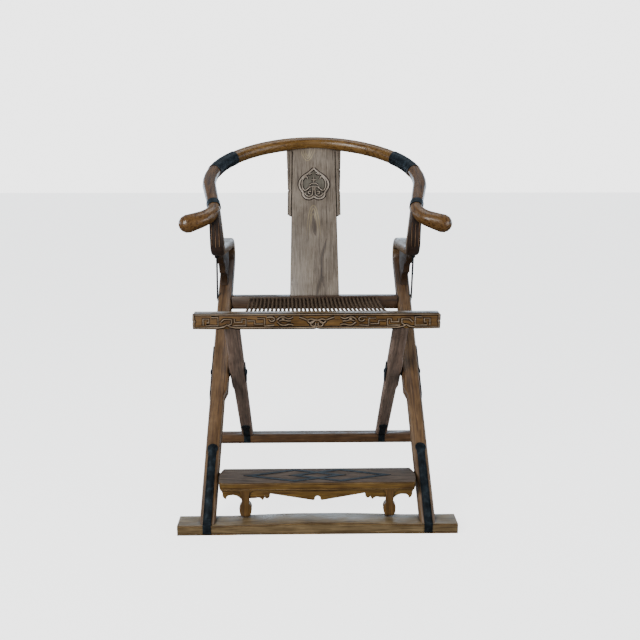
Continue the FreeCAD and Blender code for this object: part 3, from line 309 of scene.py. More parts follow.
def rope_material():
    """Hemp cord darkened by use, dull and hairy."""
    material, tree, shader = new_material("laid_hemp_cord")
    place = add_node(tree, "TexCoord").outputs["Object"]
    scale = (1 / FIBRE_WIDTH, 1 / FIBRE_LENGTH, 1 / FIBRE_WIDTH)
    fibre = add_node(tree, "Mapping", {"Vector": place, "Scale": scale}).outputs["Vector"]
    strands = add_node(tree, "TexNoise", {"Vector": fibre, "Scale": 1.0, "Detail": 4.0,
                                          "Roughness": 0.6}).outputs["Fac"]
    stops = ((0.3, linear("2a1f17")), (0.5, linear("564536")), (0.68, linear("857058")))
    colour = add_node(tree, "ValToRGB", {"Fac": strands}, stops).outputs["Color"]
    tree.links.new(colour, shader.inputs["Base Color"])
    shader.inputs["Roughness"].default_value = 0.85
    bump = add_node(tree, "Bump", {"Height": strands, "Strength": 0.5, "Distance": 0.5 * MM})
    tree.links.new(bump.outputs["Normal"], shader.inputs["Normal"])
    return material


def lean(direction):
    """Rotation that brings a direction in the side plane on to Z."""
    return (math.atan2(direction.y, direction.z), 0, 0)


# Light, middle and dark wood of the pieces whose polish differs from the rest, as sRGB hex
POLISH = {
    "splat": ("aaa095", "928981", "5e5650"),
    "splat_cut_shade_and_joint": ("241c17", "1c1612", "100c0a"),
    # The splat's dark: painted shade of its chisel cut, and its dark joints
    "splat_ground": ("8a877e", "76736b", "4e4b45"),
    "splat_line": ("d0c5ba", "b8ada2", "8a8078"),
    "splat_shade": ("857b72", "6f665f", "4f4843"),
    "splat_ring": ("c2b598", "ada085", "857962"),
    "splat_streak": ("6c6460", "5a5350", "3c3735"),
    "crest": ("93703a", "6d4c22", "301d0c"),
    "side": ("775632", "5a3e22", "2a190d"),
    "grip": ("87653a", "664726", "2f1d0f"),
    "outer_leg": ("8a6d4c", "6a5038", "35261a"),
    "post": ("3f2e26", "2e211b", "170f0b"),
    "inner_leg": ("b39c90", "917e74", "4f423c"),
    "upright": ("7e5f34", "5f4523", "2c1c0c"),
    "bracket": ("47321f", "322316", "150e08"),
    "dark_rail": ("5a4026", "432d19", "1f130a"),
    "floor_rail": ("9c8764", "7a6748", "3c2d1d"),
    "rear_rail": ("7c5e42", "604832", "33231a"),
    "footrest_top": ("7e7168", "60564e", "36302b"),
    # Paler beads: painted highlights along the arrises and down the posts
    "arris": ("ab8b5c", "8a6c42", "503a24"),
    "post_bead": ("94765a", "745842", "3c2c20"),
    "ground": ("81602e", "664820", "362410"),
    # The dark of the rail's chisel cut is painted shade
    "cut": ("1e130b", "160d07", "0b0603"),
    # Paler raised lines on the front rail, partly a painted highlight
    "rail_line": ("ac9880", "8c7862", "524232"),
}
# Roughness, specular level and darkness of the pores: of most wood, where hands rub it, and in the
# painted shade of a chisel cut
OILED, HANDLED, CHISELLED = (0.36, 0.7, 0.35), (0.27, 0.7, 0.1), (0.7, 0.1, 0.35)
FINISHES = {"crest": HANDLED, "side": HANDLED, "grip": HANDLED, "cut": CHISELLED,
            "splat_cut_shade_and_joint": CHISELLED, "footrest_top": (0.7, 0.25, 0.35), "splat": (0.36, 0.7, 0.65)}
# Turns that bring each kind's grain on to Z; the rest of the wood stands upright
UPRIGHT = (0, 0, 0)
ALONG_X = (0, math.radians(-90), 0)
GRAIN_TURNS = {"side": lean(COLLAR_RUN), "grip": lean(COLLAR_RUN), "outer_leg": lean(OUTER_RUN),
               "inner_leg": lean(INNER_RUN)}
GRAIN_TURNS.update(dict.fromkeys(("rail", "dark_rail", "floor_rail", "rear_rail", "footrest_top",
                                  "arris", "crest", "ground", "cut", "rail_line"), ALONG_X))
# Narrowing of the growth bands in the splat's board and in the rest
SPLAT_FINE, FINE = 2.0, 1.2
# Tint of the outer legs by height in metres: dark behind the seat, and a painted pale blue reflection
# of the sky on the goosenecks
LEG_TINT_AND_PAINTED_SHEEN = ((0.5, WHITE), (0.57, (0.42, 0.36, 0.32, 1)), (0.63, (0.5, 0.45, 0.42, 1)),
              (0.652, (1.2, 1.28, 1.4, 1)), (0.68, (1.2, 1.28, 1.4, 1)), (0.7, WHITE))
# Reach of the painted shade and old dirt out of corners, and on the carved lines and grounds, too small
# for a full one
HOLLOWS, RELIEF_HOLLOWS = 9 * MM, 2 * MM
RELIEF = ("splat_line", "splat_ground", "rail_line", "arris", "post_bead")


def wood(kind):
    """The elm for a kind of piece, made once."""
    name = "oiled_elm_" + kind
    found = bpy.data.materials.get(name)
    if found:
        return found
    common = bpy.context.scene.armchair_wood
    on_splat = kind.startswith("splat")
    return elm_material(
        name,
        turn=lean(SPLAT_FACE.col[1]) if on_splat else GRAIN_TURNS.get(kind, UPRIGHT),
        colours=POLISH.get(kind, (common.light, common.middle, common.dark)),
        finish=FINISHES.get(kind, OILED),
        fine=SPLAT_FINE if on_splat else FINE,
        # The outer legs' pale blue band on the goosenecks is a painted reflection
        patches=LEG_TINT_AND_PAINTED_SHEEN if kind == "outer_leg" else (),
        hollows=RELIEF_HOLLOWS if kind in RELIEF else HOLLOWS)


def iron():
    """The blackened iron, made once."""
    return bpy.data.materials.get("blackened_wrought_iron") or iron_material()


# Modelling helpers

def select_only(item):
    """Make one piece the active one, with nothing else selected."""
    bpy.ops.object.select_all(action="DESELECT")
    item.select_set(True)
    bpy.context.view_layer.objects.active = item


def edit(item, *steps):
    """Run edit-mode steps, each a callable, on all of one piece's mesh."""
    select_only(item)
    bpy.ops.object.mode_set(mode="EDIT")
    bpy.ops.mesh.select_all(action="SELECT")
    for step in steps:
        step()
    bpy.ops.object.mode_set(mode="OBJECT")


def modified(item, kind, **options):
    """Add a modifier and apply it."""
    select_only(item)
    modifier = item.modifiers.new(kind.lower(), kind)
    for name, value in options.items():
        setattr(modifier, name, value)
    bpy.ops.object.modifier_apply(modifier=modifier.name)


def finished(item, body, material, smooth=35):
    """Shade a piece, and give it its material and body."""
    item.data.name = item.name
    select_only(item)
    bpy.ops.object.transform_apply(location=True, rotation=True, scale=True)
    bpy.ops.object.shade_smooth_by_angle(angle=math.radians(smooth))
    item.data.materials.clear()
    item.data.materials.append(material)
    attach(item, body)
    return item


def softened(node, material, edge=0.0, smooth=35):
    """A merged copy of a CAD node with its arrises eased, standing for the node."""
    source = frame["nodes"][node]
    item = source.copy()
    item.name = "worn_" + node
    item.data = source.data.copy()
    bpy.context.scene.collection.objects.link(item)
    item.parent = None
    body = item["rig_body"]
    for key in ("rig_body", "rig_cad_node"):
        del item[key]
    edit(item, lambda: bpy.ops.mesh.remove_doubles(threshold=0.02 * MM),
         lambda: bpy.ops.mesh.dissolve_limited(angle_limit=math.radians(1.5)))
    if edge:
        modified(item, "BEVEL", width=edge, segments=3, limit_method="ANGLE",
                 angle_limit=math.radians(40), harden_normals=False)
    finished(item, body, material, smooth)
    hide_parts(node)
    return item


def painted(item, material, chosen):
    """Give a second material to the faces of a piece that a test picks."""
    item.data.materials.append(material)
    for face in item.data.polygons:
        face.material_index = int(chosen(face))


def as_mesh(name, data):
    """A curve made a mesh object."""
    item = bpy.data.objects.new(name, data)
    bpy.context.scene.collection.objects.link(item)
    select_only(item)
    bpy.ops.object.convert(target="MESH")
    return bpy.context.view_layer.objects.active


def new_curve(name, dimensions, bevel):
    """An empty curve with a round bevel."""
    data = bpy.data.curves.new(name, "CURVE")
    data.dimensions = dimensions
    data.bevel_depth = bevel
    data.bevel_resolution = 2
    data.resolution_u = 6
    return data


def add_line(data, points, smooth):
    """A smooth or straight line of a curve, through flat points in millimetres."""
    spline = data.splines.new("NURBS" if smooth else "POLY")
    spline.points.add(len(points) - 1)
    for spot, (x, up) in zip(spline.points, points):
        spot.co = (x * MM, up * MM, 0, 1)
    if smooth:
        spline.order_u = 3
    return spline


def strokes(name, lines, radius, end_share=1.0):
    """Round lines, each given as its points and whether it is smooth, as one mesh.

    end_share is the share of the radius that is left at a line's ends."""
    data = new_curve(name, "3D", radius)
    data.use_fill_caps = True
    for points, smooth in lines:
        spline = add_line(data, points, smooth)
        spline.use_endpoint_u = smooth
        spline.points[0].radius = end_share
        spline.points[-1].radius = end_share
    return as_mesh(name, data)


def mirrored_lines(lines, smooth):
    """Each line and its mirror image across the middle, as strokes."""
    return [([(side * x, up) for x, up in line], smooth) for line in lines for side in (-1, 1)]


def closed_outline(half):
    """A whole outline from its right half, whose first and last points are on the middle line."""
    return [*half, *((-x, up) for x, up in reversed(half[1:-1]))]


def seated(item, face, share):
    """Flatten a piece drawn in a face's own X and Y to a share of its height, and lay it there."""
    item.data.transform(face @ Matrix.Scale(share, 4, (0, 0, 1)))
    return item


# The dark of a chisel cut is painted shade; it stands this far off the face, so that it isn't lost in
# it
CUT_SHADE_RISE = 0.5 * MM
# Shading angle of the drawn beads, in degrees
BEAD_SMOOTH = 60


def carved(name, face, lines, body, kind, radius, proud=0.75, margin=2.4 * MM):
    """Raised lines, each between two dark strokes of painted shade where a chisel cut lies, on a flat
    face.

    proud is the beads' height as a share of their radius, and margin the width of a cut."""
    # The dark beside the beads is painted shade of the chisel cut
    dark = wood("splat_cut_shade_and_joint" if kind.startswith("splat") else "cut")
    cut_shades = strokes(name + "_cuts", lines, radius + margin)
    finished(seated(cut_shades, face, CUT_SHADE_RISE / (radius + margin)), body, dark, smooth=BEAD_SMOOTH)
    beads = strokes(name + "_relief", lines, radius)
    finished(seated(beads, face, proud), body, wood(kind), smooth=BEAD_SMOOTH)


def inlaid(name, face, outline, body, material, height, edge=0.0):
    """A thin plate with a smooth outline and eased edges, lying on a flat face."""
    data = new_curve(name, "2D", edge)
    data.fill_mode = "BOTH"
    data.extrude = height
    add_line(data, outline, True).use_cyclic_u = True
    item = seated(as_mesh(name, data), face, 1)
    edit(item, lambda: bpy.ops.mesh.remove_doubles(threshold=0.01 * MM))
    return finished(item, body, material, smooth=30)


# Fine beads worked along the arrises of the front floor rail and the footrest board
# The beads are paler as a painted highlight along each arris, beside painted shade
ARRIS_BEAD = {"kind": "arris", "radius": 1.2 * MM, "proud": 0.7, "margin": 0.7 * MM}
# A face counts as turned one way when its normal has this share of that direction
FACING = 0.9


# Pieces

class ARMCHAIR_OT_crest(bpy.types.Operator):
    """Horseshoe crest rail in three lengths, with its swollen hand grips"""
    bl_idname = "armchair.crest"
    bl_label = "Crest rail and grips"

    def execute(self, context):
        for node, kind in (("crest_centre", "crest"), ("crest_side_left", "side"),
                           ("crest_side_right", "side"), ("hand_grips", "grip")):
            softened(node, wood(kind), smooth=45)
        return {"FINISHED"}


# Rounding of the legs' arrises, and how far a post's front may turn from the front
LEG_EDGE = 1.2 * MM
POST_FACING = 0.3
# Beads down the fronts of the arm posts, in millimetres: place across, and lower and upper end
# from POST_MIDDLE
# The beads are paler than the post as painted highlights
POST_BEADS = ((273.5, -44, 26), (284, -46, 22), (294.5, -44, 26))


class ARMCHAIR_OT_legs(bpy.types.Operator):
    """Crossed legs; the outer pair run on up to the arms"""
    bl_idname = "armchair.legs"
    bl_label = "Legs"
    post_foot: bpy.props.FloatProperty(
        name="Post foot", description="Height above which the arm posts' fronts are dark",
        default=655 * MM, unit="LENGTH")

    def execute(self, context):
        for side, sign in SIDES:
            leg = softened("outer_leg_" + side, wood("outer_leg"), LEG_EDGE, smooth=40)
            painted(leg, wood("post"), lambda face: (
                face.center.z > self.post_foot and face.normal.y < -POST_FACING))
            beads = [([(sign * x, low), (sign * x, high)], False) for x, low, high in POST_BEADS]
            # Paler beads as painted highlights down the post's front
            carved("post_beads_" + side, POST_FACES[side], beads, BACK, "post_bead", 1.3 * MM,
                   proud=0.9, margin=0.8 * MM)
            softened("inner_leg_" + side, wood("inner_leg"), LEG_EDGE, smooth=40)
        return {"FINISHED"}


# Right half of the bead along the front floor rail's upper edge, and the bead along its foot, in
# millimetres from the rail's middle and foot
FLOOR_RAIL_BEAD = ((0, 29.4), (60, 29.1), (110, 27.6), (160, 25.6), (200, 24.4), (240, 23.6),
                   (300, 23.6), (358, 23.6))
FLOOR_RAIL_FOOT = ((-358, 2.6), (358, 2.6))


class ARMCHAIR_OT_rails(bpy.types.Operator):
    """Floor rails and the rear seat rail"""
    bl_idname = "armchair.rails"
    bl_label = "Rails"

    def execute(self, context):
        for node, kind in (("front_floor_rail", "floor_rail"), ("rear_floor_rail", "rear_rail"),
                           ("rear_seat_rail", "dark_rail")):
            softened(node, wood(kind), context.scene.armchair_wood.edge)
        lines = mirrored_lines((FLOOR_RAIL_BEAD,), True) + [(FLOOR_RAIL_FOOT, False)]
        # Paler beads as a painted highlight on the rail's arrises
        carved("front_floor_rail_beads", front_of("front_floor_rail"), lines, BACK, **ARRIS_BEAD)
        return {"FINISHED"}


# Left half of the rail's carving: millimetres from the middle and above the rail's lower edge
RAIL_FRETS = (
    ((-298, 10), (-298, 27), (-283, 27), (-283, 17), (-289, 17)),
    ((-276, 31), (-259, 31), (-259, 9), (-291, 9)),
    ((-252, 18), (-244, 26), (-224, 26), (-224, 14), (-234, 9)),
    ((-216, 27), (-216, 18), (-196, 18), (-196, 26), (-186, 26), (-186, 9), (-219, 9)),
    ((-181, 22), (-163, 22), (-163, 13), (-141, 13)),
    ((-156, 28), (-137, 28), (-137, 8), (-112, 10)),
)
RAIL_SCROLLS = (
    ((-131, 31), (-118, 33), (-110, 28), (-112, 21), (-122, 20), (-125, 25)),
    ((-104, 24), (-98, 32), (-84, 32), (-74, 25), (-63, 31)),
    ((-103, 18), (-96, 11), (-84, 9), (-70, 14), (-62, 10)),
    ((-98, 21), (-90, 25), (-80, 21), (-68, 21)),
    ((-92, 27), (-88, 28), (-86, 25), (-89, 24), (-91, 26)),
    ((-46, 31), (-34, 28), (-24, 22), (-16, 27), (-5, 24), (0, 22)),
    ((-24, 20), (-17, 14), (-10, 16), (-8, 21)),
    ((0, 24), (-8, 21), (-17, 17), (-16, 9), (-8, 6), (-2, 10), (-4, 16)),
)
# The rail's raised border: height of its hem, the cusps in the hem as place and rise, a cusp's
# outline as shares of its rise, and the notch in each end as inset and height
RAIL_HEM = 3.2
RAIL_CUSPS = ((-236, 8), (0, 3), (236, 8))
CUSP = ((-3, 0), (-1, 0.35), (0, 1), (1, 0.35), (3, 0))
END_NOTCH = ((0, 24), (2.5, 20), (0, 16))


class ARMCHAIR_OT_front_rail(bpy.types.Operator):
    """Front seat rail with key frets, scrolling dragons and a cloud scroll in low relief"""
    bl_idname = "armchair.front_rail"
    bl_label = "Carved front seat rail"

    def execute(self, context):
        bead = context.scene.armchair_carving.bead
        low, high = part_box("front_seat_rail")
        rail = softened("front_seat_rail", wood("rail"), context.scene.armchair_wood.edge / 2)
        painted(rail, wood("ground"), lambda face: face.normal.y < -FACING)
        face = front_of("front_seat_rail")
        lines = mirrored_lines(RAIL_FRETS, False) + mirrored_lines(RAIL_SCROLLS, True)
        # The raised lines are paler in part as a painted highlight, between painted shade
        carved("front_rail", face, lines, SEAT, "rail_line", bead)
        reach = (high.x - low.x) / 2 / MM - bead / MM
        top = (high.z - low.z) / MM - bead / MM
        border = [(reach, top), (-reach, top)]
        border += [(inset - reach, up) for inset, up in END_NOTCH]
        border += [(-reach, RAIL_HEM)]
        for middle, rise in RAIL_CUSPS:
            border += [(middle + x * rise, RAIL_HEM + up * rise) for x, up in CUSP]
        border += [(reach, RAIL_HEM)]
        border += [(reach - inset, up) for inset, up in reversed(END_NOTCH)]
        border += [(reach, top)]
        carved("front_rail_border", face, [(border, False)], SEAT, "rail_line", bead * 1.1, proud=0.9)
        return {"FINISHED"}


# Right half of the medallion's cloud-head band, in millimetres from its middle
CLOUD_BAND = ((0, 50), (14.5, 34.5), (30, 25.5), (42.5, 12), (48, -2), (46, -16.5), (38.5, -27.5),
              (34.5, -34.5), (35, -44), (25.5, -53), (14.5, -55), (5.5, -51.5), (0, -45.5))
# Right half of the scrolls inside the band
CLOUD_FILL = (
    ((20, 13), (21, 20), (26, 22), (33, 16), (38, 6), (39, -6), (37, -18), (31, -27), (24, -25),
     (18, -19), (13, -15)),
    ((8, 33), (13, 28), (17, 30)),
    ((3, -16), (3.4, -38), (9, -45), (18, -47), (26, -43), (30, -36)),
    ((9, -31), (14, -28), (19, -31), (18, -37), (13, -38)),
)
# Small cross on a dome over a bar in the medallion's middle
CLOUD_MOTIF = (((0, 19), (0, 1)), ((-8, 10), (8, 10)), ((-14, -8), (-7, -2), (7, -2), (14, -8)),
               ((-17, -14), (17, -14)))
# Height of the medallion's ground, and width of the painted shade of the chisel cut beside its lines
GROUND_HEIGHT = 0.08 * MM
CLOUD_CUT_SHADE = 2.6 * MM
# Old shakes in the board below the medallion, in millimetres from the medallion's middle
SHAKES = (
    ((-3, -88), (-5, -116), (2, -142), (0, -167), (6, -180)),
    ((40, -188), (33, -218), (22, -254), (25, -295), (18, -326), (9, -362), (6, -392)),
    ((30, -250), (20, -290), (24, -316), (30, -350)),
    ((24, -312), (27, -316), (24, -320), (22, -316)),
)
# Arched growth rings above and below the medallion, from its middle
RINGS = (
    ((-44, 116), (-38, 96), (-20, 70), (-2, 96), (4, 116)),
    ((-36, 116), (-31, 99), (-20, 80), (-9, 99), (-4, 116)),
    ((-29, 116), (-26, 103), (-20, 90), (-14, 103), (-11, 116)),
    ((-26, -190), (-21, -112), (-2, -66), (16, -112), (22, -190)),
    ((-18, -190), (-14, -120), (-2, -78), (9, -120), (14, -190)),
    ((-11, -150), (-9, -124), (-3, -98), (2, -124), (4, -150)),
)
# The board's marks: name, lines, half width, height as a share of it, and wood
MARKS = (("splat_shade", SHAKES, 6 * MM, 0.02, "splat_shade"),
         ("splat_rings", RINGS, 1.6 * MM, 0.05, "splat_ring"),
         ("splat_shakes", SHAKES, 1.7 * MM, 0.1, "splat_streak"))
# Share of a mark's width that is left at its ends
MARK_ENDS = 0.1
# Edge of the board against its strip, and the strip's bead, in millimetres from SPLAT_MIDDLE, and
# the dark joint's half width and its height as a share of that
JOINT_RADIUS, JOINT_RISE = 1.4 * MM, 0.15
FLANGE_JOINT = ((73.0, 12), (69.5, 236))
FLANGE_BEAD = ((83, 18), (82.5, 96), (79.5, 102), (82.5, 108), (82, 166), (79, 172), (82, 178),
               (81, 232))


class ARMCHAIR_OT_splat(bpy.types.Operator):
    """Plain back splat with notched edge strips and a carved cloud-head medallion"""
    bl_idname = "armchair.splat"
    bl_label = "Back splat"

    def execute(self, context):
        edge = context.scene.armchair_wood.edge
        carving = context.scene.armchair_carving
        softened("splat", wood("splat"), edge)
        for side, _ in SIDES:
            softened("splat_flange_" + side, wood("splat"), edge / 2)
        slide = (carving.medallion - SPLAT_MIDDLE) / SPLAT_FACE.col[1].z
        face = SPLAT_FACE @ Matrix.Translation((0, slide, 0))
        inlaid("medallion_ground", face, closed_outline(CLOUD_BAND), BACK, wood("splat_ground"),
               GROUND_HEIGHT)
        motif = [(line, False) for line in CLOUD_MOTIF]
        for name, lines, radius, proud in (
                ("band", mirrored_lines((CLOUD_BAND,), True), 3.2 * MM, 0.35),
                ("fill", mirrored_lines(CLOUD_FILL, True), carving.bead * 1.2, 0.8),
                ("motif", motif, carving.bead, 0.9)):
            carved("medallion_" + name, face, lines, BACK, "splat_line", radius, proud, CLOUD_CUT_SHADE)
        for name, lines, half, rise, kind in MARKS:
            marks = strokes(name, [(line, True) for line in lines], half, MARK_ENDS)
            finished(seated(marks, face, rise), BACK, wood(kind), smooth=BEAD_SMOOTH)
        for side, sign in SIDES:
            joint = [(sign * x, up) for x, up in FLANGE_JOINT]
            line = strokes("flange_joint_" + side, [(joint, False)], JOINT_RADIUS)
            line = seated(line, SPLAT_FACE, JOINT_RISE)
            finished(line, BACK, wood("splat_cut_shade_and_joint"), smooth=BEAD_SMOOTH)
            bead = [(sign * x, up) for x, up in FLANGE_BEAD]
            carved("flange_bead_" + side, FLANGE_FACES[side], [(bead, False)], BACK, "splat",
                   1.6 * MM, proud=0.8, margin=1.0 * MM)
        return {"FINISHED"}


class ARMCHAIR_OT_brackets(bpy.types.Operator):
    """Cusped brackets behind the goosenecks"""
    bl_idname = "armchair.brackets"
    bl_label = "Cusped brackets"

    def execute(self, context):
        for side, _ in SIDES:
            softened("bend_bracket_" + side, wood("bracket"), context.scene.armchair_wood.edge)
        return {"FINISHED"}


# Heights of the cords' ends in the rear and front seat rails, and how far the ends run into them
ROPE_REAR, ROPE_FRONT = 515.6 * MM, 539.6 * MM
ROPE_TUCK = 3 * MM
# A cord's section: its sides, how far its waist is drawn in, its flatness, and steps in one turn
CORD_SIDES = 12
CORD_WAIST = 0.2
CORD_FLATNESS = 0.86
LAY_STEPS = 8


def cord_section(radius):
    """Section of two strands laid together, as a curve object to bevel with."""
    section = bpy.data.curves.new("strand_section", "CURVE")
    section.dimensions = "2D"
    loop = section.splines.new("POLY")
    loop.points.add(CORD_SIDES - 1)
    for index, point in enumerate(loop.points):
        angle = 2 * math.pi * index / CORD_SIDES
        reach = radius * (1 - CORD_WAIST + CORD_WAIST * math.cos(2 * angle))
        point.co = (reach * math.cos(angle), reach * CORD_FLATNESS * math.sin(angle), 0, 1)
    loop.use_cyclic_u = True
    return bpy.data.objects.new("strand_section", section)


class ARMCHAIR_OT_seat(bpy.types.Operator):
    """Two-strand laid cords drawn between the seat rails"""
    bl_idname = "armchair.seat"
    bl_label = "Rope seat"

    def execute(self, context):
        rope = context.scene.armchair_rope
        low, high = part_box("rope_seat")
        section = cord_section(rope.radius)
        data = bpy.data.curves.new("cord", "CURVE")
        data.dimensions = "3D"
        data.bevel_mode = "OBJECT"
        data.bevel_object = section
        data.use_fill_caps = True
        span = high.y - low.y
        steps = round(span / (rope.lay / LAY_STEPS))
        for cord in range(rope.count):
            place = cord / (rope.count - 1) - 0.5
            rear = Vector((place * rope.width - rope.skew, high.y + ROPE_TUCK, ROPE_REAR))
            front = Vector((place * rope.width + rope.skew, low.y - ROPE_TUCK, ROPE_FRONT))
            spline = data.splines.new("POLY")
            spline.points.add(steps)
            for step, point in enumerate(spline.points):
                share = step / steps
                sag = 4 * rope.sag * share * (1 - share)
                point.co = (*(rear.lerp(front, share) - Vector((0, 0, sag))), 1)
                point.tilt = 2 * math.pi * span * share / rope.lay + cord
        item = as_mesh("laid_rope_seat", data)
        bpy.data.objects.remove(section)
        edit(item, lambda: bpy.ops.mesh.normals_make_consistent(inside=False))
        item.data.materials.clear()
        item.data.materials.append(rope_material())
        bpy.ops.object.shade_smooth()
        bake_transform(item)
        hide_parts("rope_seat")
        return {"FINISHED"}


# Beads along the footrest board's front, in millimetres from its middle and underside
BOARD_BEADS = (((-247, 2.6), (247, 2.6)), ((-247, 18.2), (247, 18.2)))


class ARMCHAIR_OT_footrest(bpy.types.Operator):
    """Hinged footrest board on a cusped apron and two feet"""
    bl_idname = "armchair.footrest"
    bl_label = "Footrest"

    def execute(self, context):
        edge = context.scene.armchair_wood.edge
        board = softened("footrest_board", wood("rail"), edge)
        painted(board, wood("footrest_top"), lambda face: face.normal.z > FACING)
        # Paler beads as a painted highlight on the board's arrises
        carved("footrest_board_beads", front_of("footrest_board"),
               [(line, False) for line in BOARD_BEADS], FOOTREST, **ARRIS_BEAD)
        softened("footrest_apron", wood("rail"), edge / 2)
        softened("footrest_feet", wood("upright"), edge)
        return {"FINISHED"}


# Rounding of the straps and their nails
STRAP_EDGE = 1.0 * MM
# Upper ends of the leg straps on the right side: place in millimetres, run, ridge length and body
STRAP_ENDS = {"front": (Vector((284, -234.5, 170.3)), OUTER_RUN, 205, BACK),
              "rear": (Vector((227.2, 214.6, 75.7)), INNER_RUN, 60, SEAT)}
# Right half of a strap's forged head, in millimetres from the strap's end, and its thickness
STRAP_HEAD = ((0, 12), (6, 11), (12, 6), (13.5, -2), (11, -8), (9.5, -11), (10, -16), (10, -22))
HEAD_HEIGHT = 1.3 * MM
# The ridge down a strap: half its width, its height as a share of that, and its start in the head
RIDGE_RADIUS = 9.6 * MM
RIDGE_RISE = 0.42
RIDGE_START = 4


class ARMCHAIR_OT_ironwork(bpy.types.Operator):
    """Straps, plates, pins, wraps, rods and inlaid lozenges"""
    bl_idname = "armchair.ironwork"
    bl_label = "Ironwork"
    collar_stretch: bpy.props.FloatProperty(
        name="Collar stretch", description="Width of the grips' bands against the CAD ring",
        default=1.9)
    collar_swell: bpy.props.FloatProperty(
        name="Collar swell", description="Radius of the grips' bands against the CAD ring",
        default=1.05)

    def execute(self, context):
        self.widen_collars()
        for part in frame["record"]["subparts"]:
            node = part["node"]
            if part["material_slot"] == IRON and node != "grip_collars":
                softened(node, iron(), STRAP_EDGE if "strap_" in node else 0, smooth=45)
        outline = [*STRAP_HEAD, *((-x, up) for x, up in reversed(STRAP_HEAD[1:]))]
        for end, (top, run, length, body) in STRAP_ENDS.items():
            turn = Matrix((ACROSS, run, ACROSS.cross(run))).transposed().to_4x4()
            ridge_line = ([(0, -length), (0, RIDGE_START)], False)
            for side, sign in SIDES:
                face = Matrix.Translation((sign * top.x * MM, top.y * MM, top.z * MM)) @ turn
                inlaid(end + "_strap_head_" + side, face, outline, body, iron(), HEAD_HEIGHT,
                       edge=HEAD_HEIGHT)
                ridge = strokes(end + "_strap_ridge_" + side, [ridge_line], RIDGE_RADIUS)
                finished(seated(ridge, face, RIDGE_RISE), body, iron(), BEAD_SMOOTH)
        return {"FINISHED"}

    def widen_collars(self):
        """The grips' bands, drawn out along the grip and round it."""
        collars = softened("grip_collars", iron(), 0, smooth=45)
        for point in collars.data.vertices:
            side = math.copysign(1, point.co.x)
            centre = Vector((side * COLLAR.x, COLLAR.y, COLLAR.z))
            run = Vector((side * COLLAR_RUN.x, COLLAR_RUN.y, COLLAR_RUN.z))
            along = (point.co - centre).dot(run)
            out = point.co - centre - along * run
            point.co = centre + out * self.collar_swell + run * along * self.collar_stretch


FLOOR_SIZE = 40
# The floor's own light, so that it looks pale in the camera
FLOOR_GLOW = 2.4
# A cool sky behind the chair, seen only by the chair
SKY = ((0, (0, 0, 0, 1)), (1, (0.72, 0.86, 1, 1)))
# Lights: name, place, width, power and colour, all turned towards AIM
LIGHTS = (("key", (-1.8, -2.6, 1.8), 1.6, 84, (1, 0.97, 0.92)),
          ("top", (0.2, 0.4, 3.0), 1.2, 9, (1, 1, 1)),
          ("fill", (2.6, -1.8, 1.0), 1.6, 30, (1, 0.98, 0.96)))
AIM = Vector((0, 0, 0.5))
# The camera: place, degrees down and to the right, and lens and sensor in millimetres
CAMERA_PLACE = (-0.033, -2.3086, 0.947)
CAMERA_TILT, CAMERA_TURN = 11.47, 1.15
LENS, SENSOR = 45, 36


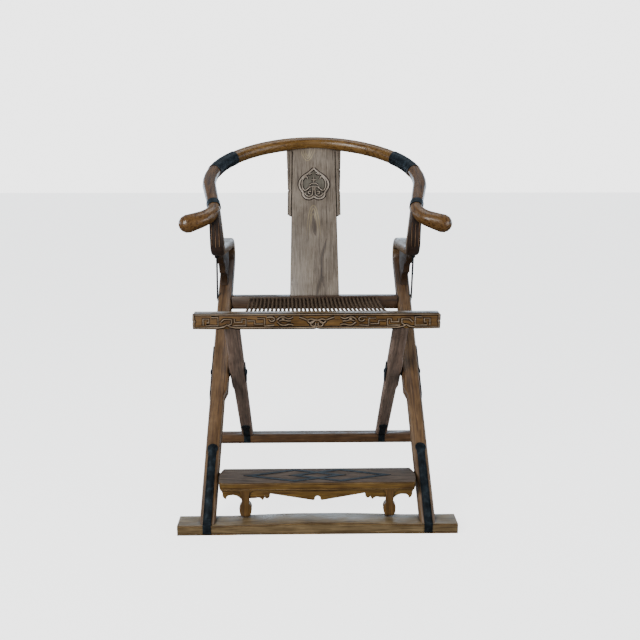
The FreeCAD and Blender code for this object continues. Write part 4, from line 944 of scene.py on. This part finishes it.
class ARMCHAIR_OT_stage(bpy.types.Operator):
    """Pale floor, soft studio light and the camera"""
    bl_idname = "armchair.stage"
    bl_label = "Studio"

    def execute(self, context):
        self.lay_floor(context)
        self.light_surround(context)
        for name, place, width, power, colour in LIGHTS:
            data = bpy.data.lights.new(name, "AREA")
            data.size = width
            data.energy = power
            data.color = colour
            lamp = bpy.data.objects.new(name, data)
            lamp.location = place
            lamp.rotation_euler = (AIM - Vector(place)).to_track_quat("-Z", "Y").to_euler()
            context.scene.collection.objects.link(lamp)
        lens = bpy.data.cameras.new("camera")
        lens.lens = LENS
        lens.sensor_width = SENSOR
        camera = bpy.data.objects.new("camera", lens)
        camera.location = CAMERA_PLACE
        camera.rotation_euler = (math.radians(90 - CAMERA_TILT), 0, math.radians(-CAMERA_TURN))
        context.scene.collection.objects.link(camera)
        context.scene.camera = camera
        return {"FINISHED"}

    def lay_floor(self, context):
        """A floor that is pale to look at and throws little light up under the chair."""
        stage = context.scene.armchair_stage
        bpy.ops.object.select_all(action="DESELECT")
        bpy.ops.mesh.primitive_plane_add(size=FLOOR_SIZE)
        floor = context.view_layer.objects.active
        floor.name = "studio_floor"
        material, tree, shader = new_material("pale_studio_floor")
        shader.inputs["Base Color"].default_value = linear(stage.floor)
        shader.inputs["Roughness"].default_value = 0.9
        shader.inputs["Emission Color"].default_value = WHITE
        shader.inputs["Emission Strength"].default_value = FLOOR_GLOW
        seen = add_node(tree, "LightPath").outputs["Is Camera Ray"]
        muted = add_node(tree, "BsdfDiffuse", {"Color": linear(stage.bounce)}).outputs["BSDF"]
        both = add_node(tree, "MixShader", {0: seen, 1: muted, 2: shader.outputs["BSDF"]})
        tree.links.new(both.outputs["Shader"], tree.nodes["Material Output"].inputs["Surface"])
        floor.data.materials.append(material)

    def light_surround(self, context):
        """A white backdrop for the camera, and a cool band low down behind the chair for its light."""
        world = bpy.data.worlds.new("studio")
        world.use_nodes = True
        tree = world.node_tree
        surround = tree.nodes["Background"]
        surround.inputs["Strength"].default_value = context.scene.armchair_stage.brightness
        toward = add_node(tree, "TexCoord").outputs["Generated"]
        axes = add_node(tree, "SeparateXYZ", {0: toward}).outputs
        level = add_node(tree, "MapRange", {"Value": axes["Z"], "From Min": 0.1, "From Max": 0.3,
                                            "To Min": 1.0, "To Max": 0.14}).outputs["Result"]
        behind = add_node(tree, "MapRange", {"Value": axes["Y"], "From Min": -0.5, "From Max": 0.6,
                                             "To Min": 0.12, "To Max": 1.0}).outputs["Result"]
        share = add_node(tree, "Math", {0: level, 1: behind}, operation="MULTIPLY").outputs[0]
        sky = add_node(tree, "ValToRGB", {"Fac": share}, SKY).outputs["Color"]
        seen = add_node(tree, "LightPath").outputs["Is Camera Ray"]
        shown = add_node(tree, "Mix", {0: seen, 6: sky, 7: WHITE}, data_type="RGBA").outputs[2]
        tree.links.new(shown, surround.inputs["Color"])
        context.scene.world = world


PIECES = (ARMCHAIR_OT_crest, ARMCHAIR_OT_legs, ARMCHAIR_OT_rails, ARMCHAIR_OT_front_rail,
          ARMCHAIR_OT_splat, ARMCHAIR_OT_brackets, ARMCHAIR_OT_seat, ARMCHAIR_OT_footrest,
          ARMCHAIR_OT_ironwork, ARMCHAIR_OT_stage)
SETTINGS = (("armchair_wood", WoodSettings), ("armchair_carving", CarvingSettings),
            ("armchair_rope", RopeSettings), ("armchair_stage", StageSettings))


class ARMCHAIR_PT_panel(bpy.types.Panel):
    """Lists the armchair's pieces and their settings"""
    bl_idname = "ARMCHAIR_PT_panel"
    bl_label = "Armchair"
    bl_space_type = "VIEW_3D"
    bl_region_type = "UI"
    bl_category = "Armchair"

    def draw(self, context):
        for piece in PIECES:
            self.layout.operator(piece.bl_idname)
        for name, group in SETTINGS:
            for key in group.__annotations__:
                self.layout.prop(getattr(context.scene, name), key)


def register():
    for name, group in SETTINGS:
        bpy.utils.register_class(group)
        setattr(bpy.types.Scene, name, bpy.props.PointerProperty(type=group))
    for item in (*PIECES, ARMCHAIR_PT_panel):
        bpy.utils.register_class(item)


def unregister():
    for item in (ARMCHAIR_PT_panel, *reversed(PIECES)):
        bpy.utils.unregister_class(item)
    for name, group in reversed(SETTINGS):
        delattr(bpy.types.Scene, name)
        bpy.utils.unregister_class(group)


def main():
    register()
    for piece in PIECES:
        category, operator = piece.bl_idname.split(".")
        getattr(getattr(bpy.ops, category), operator)()


if __name__ == "__main__":
    main()
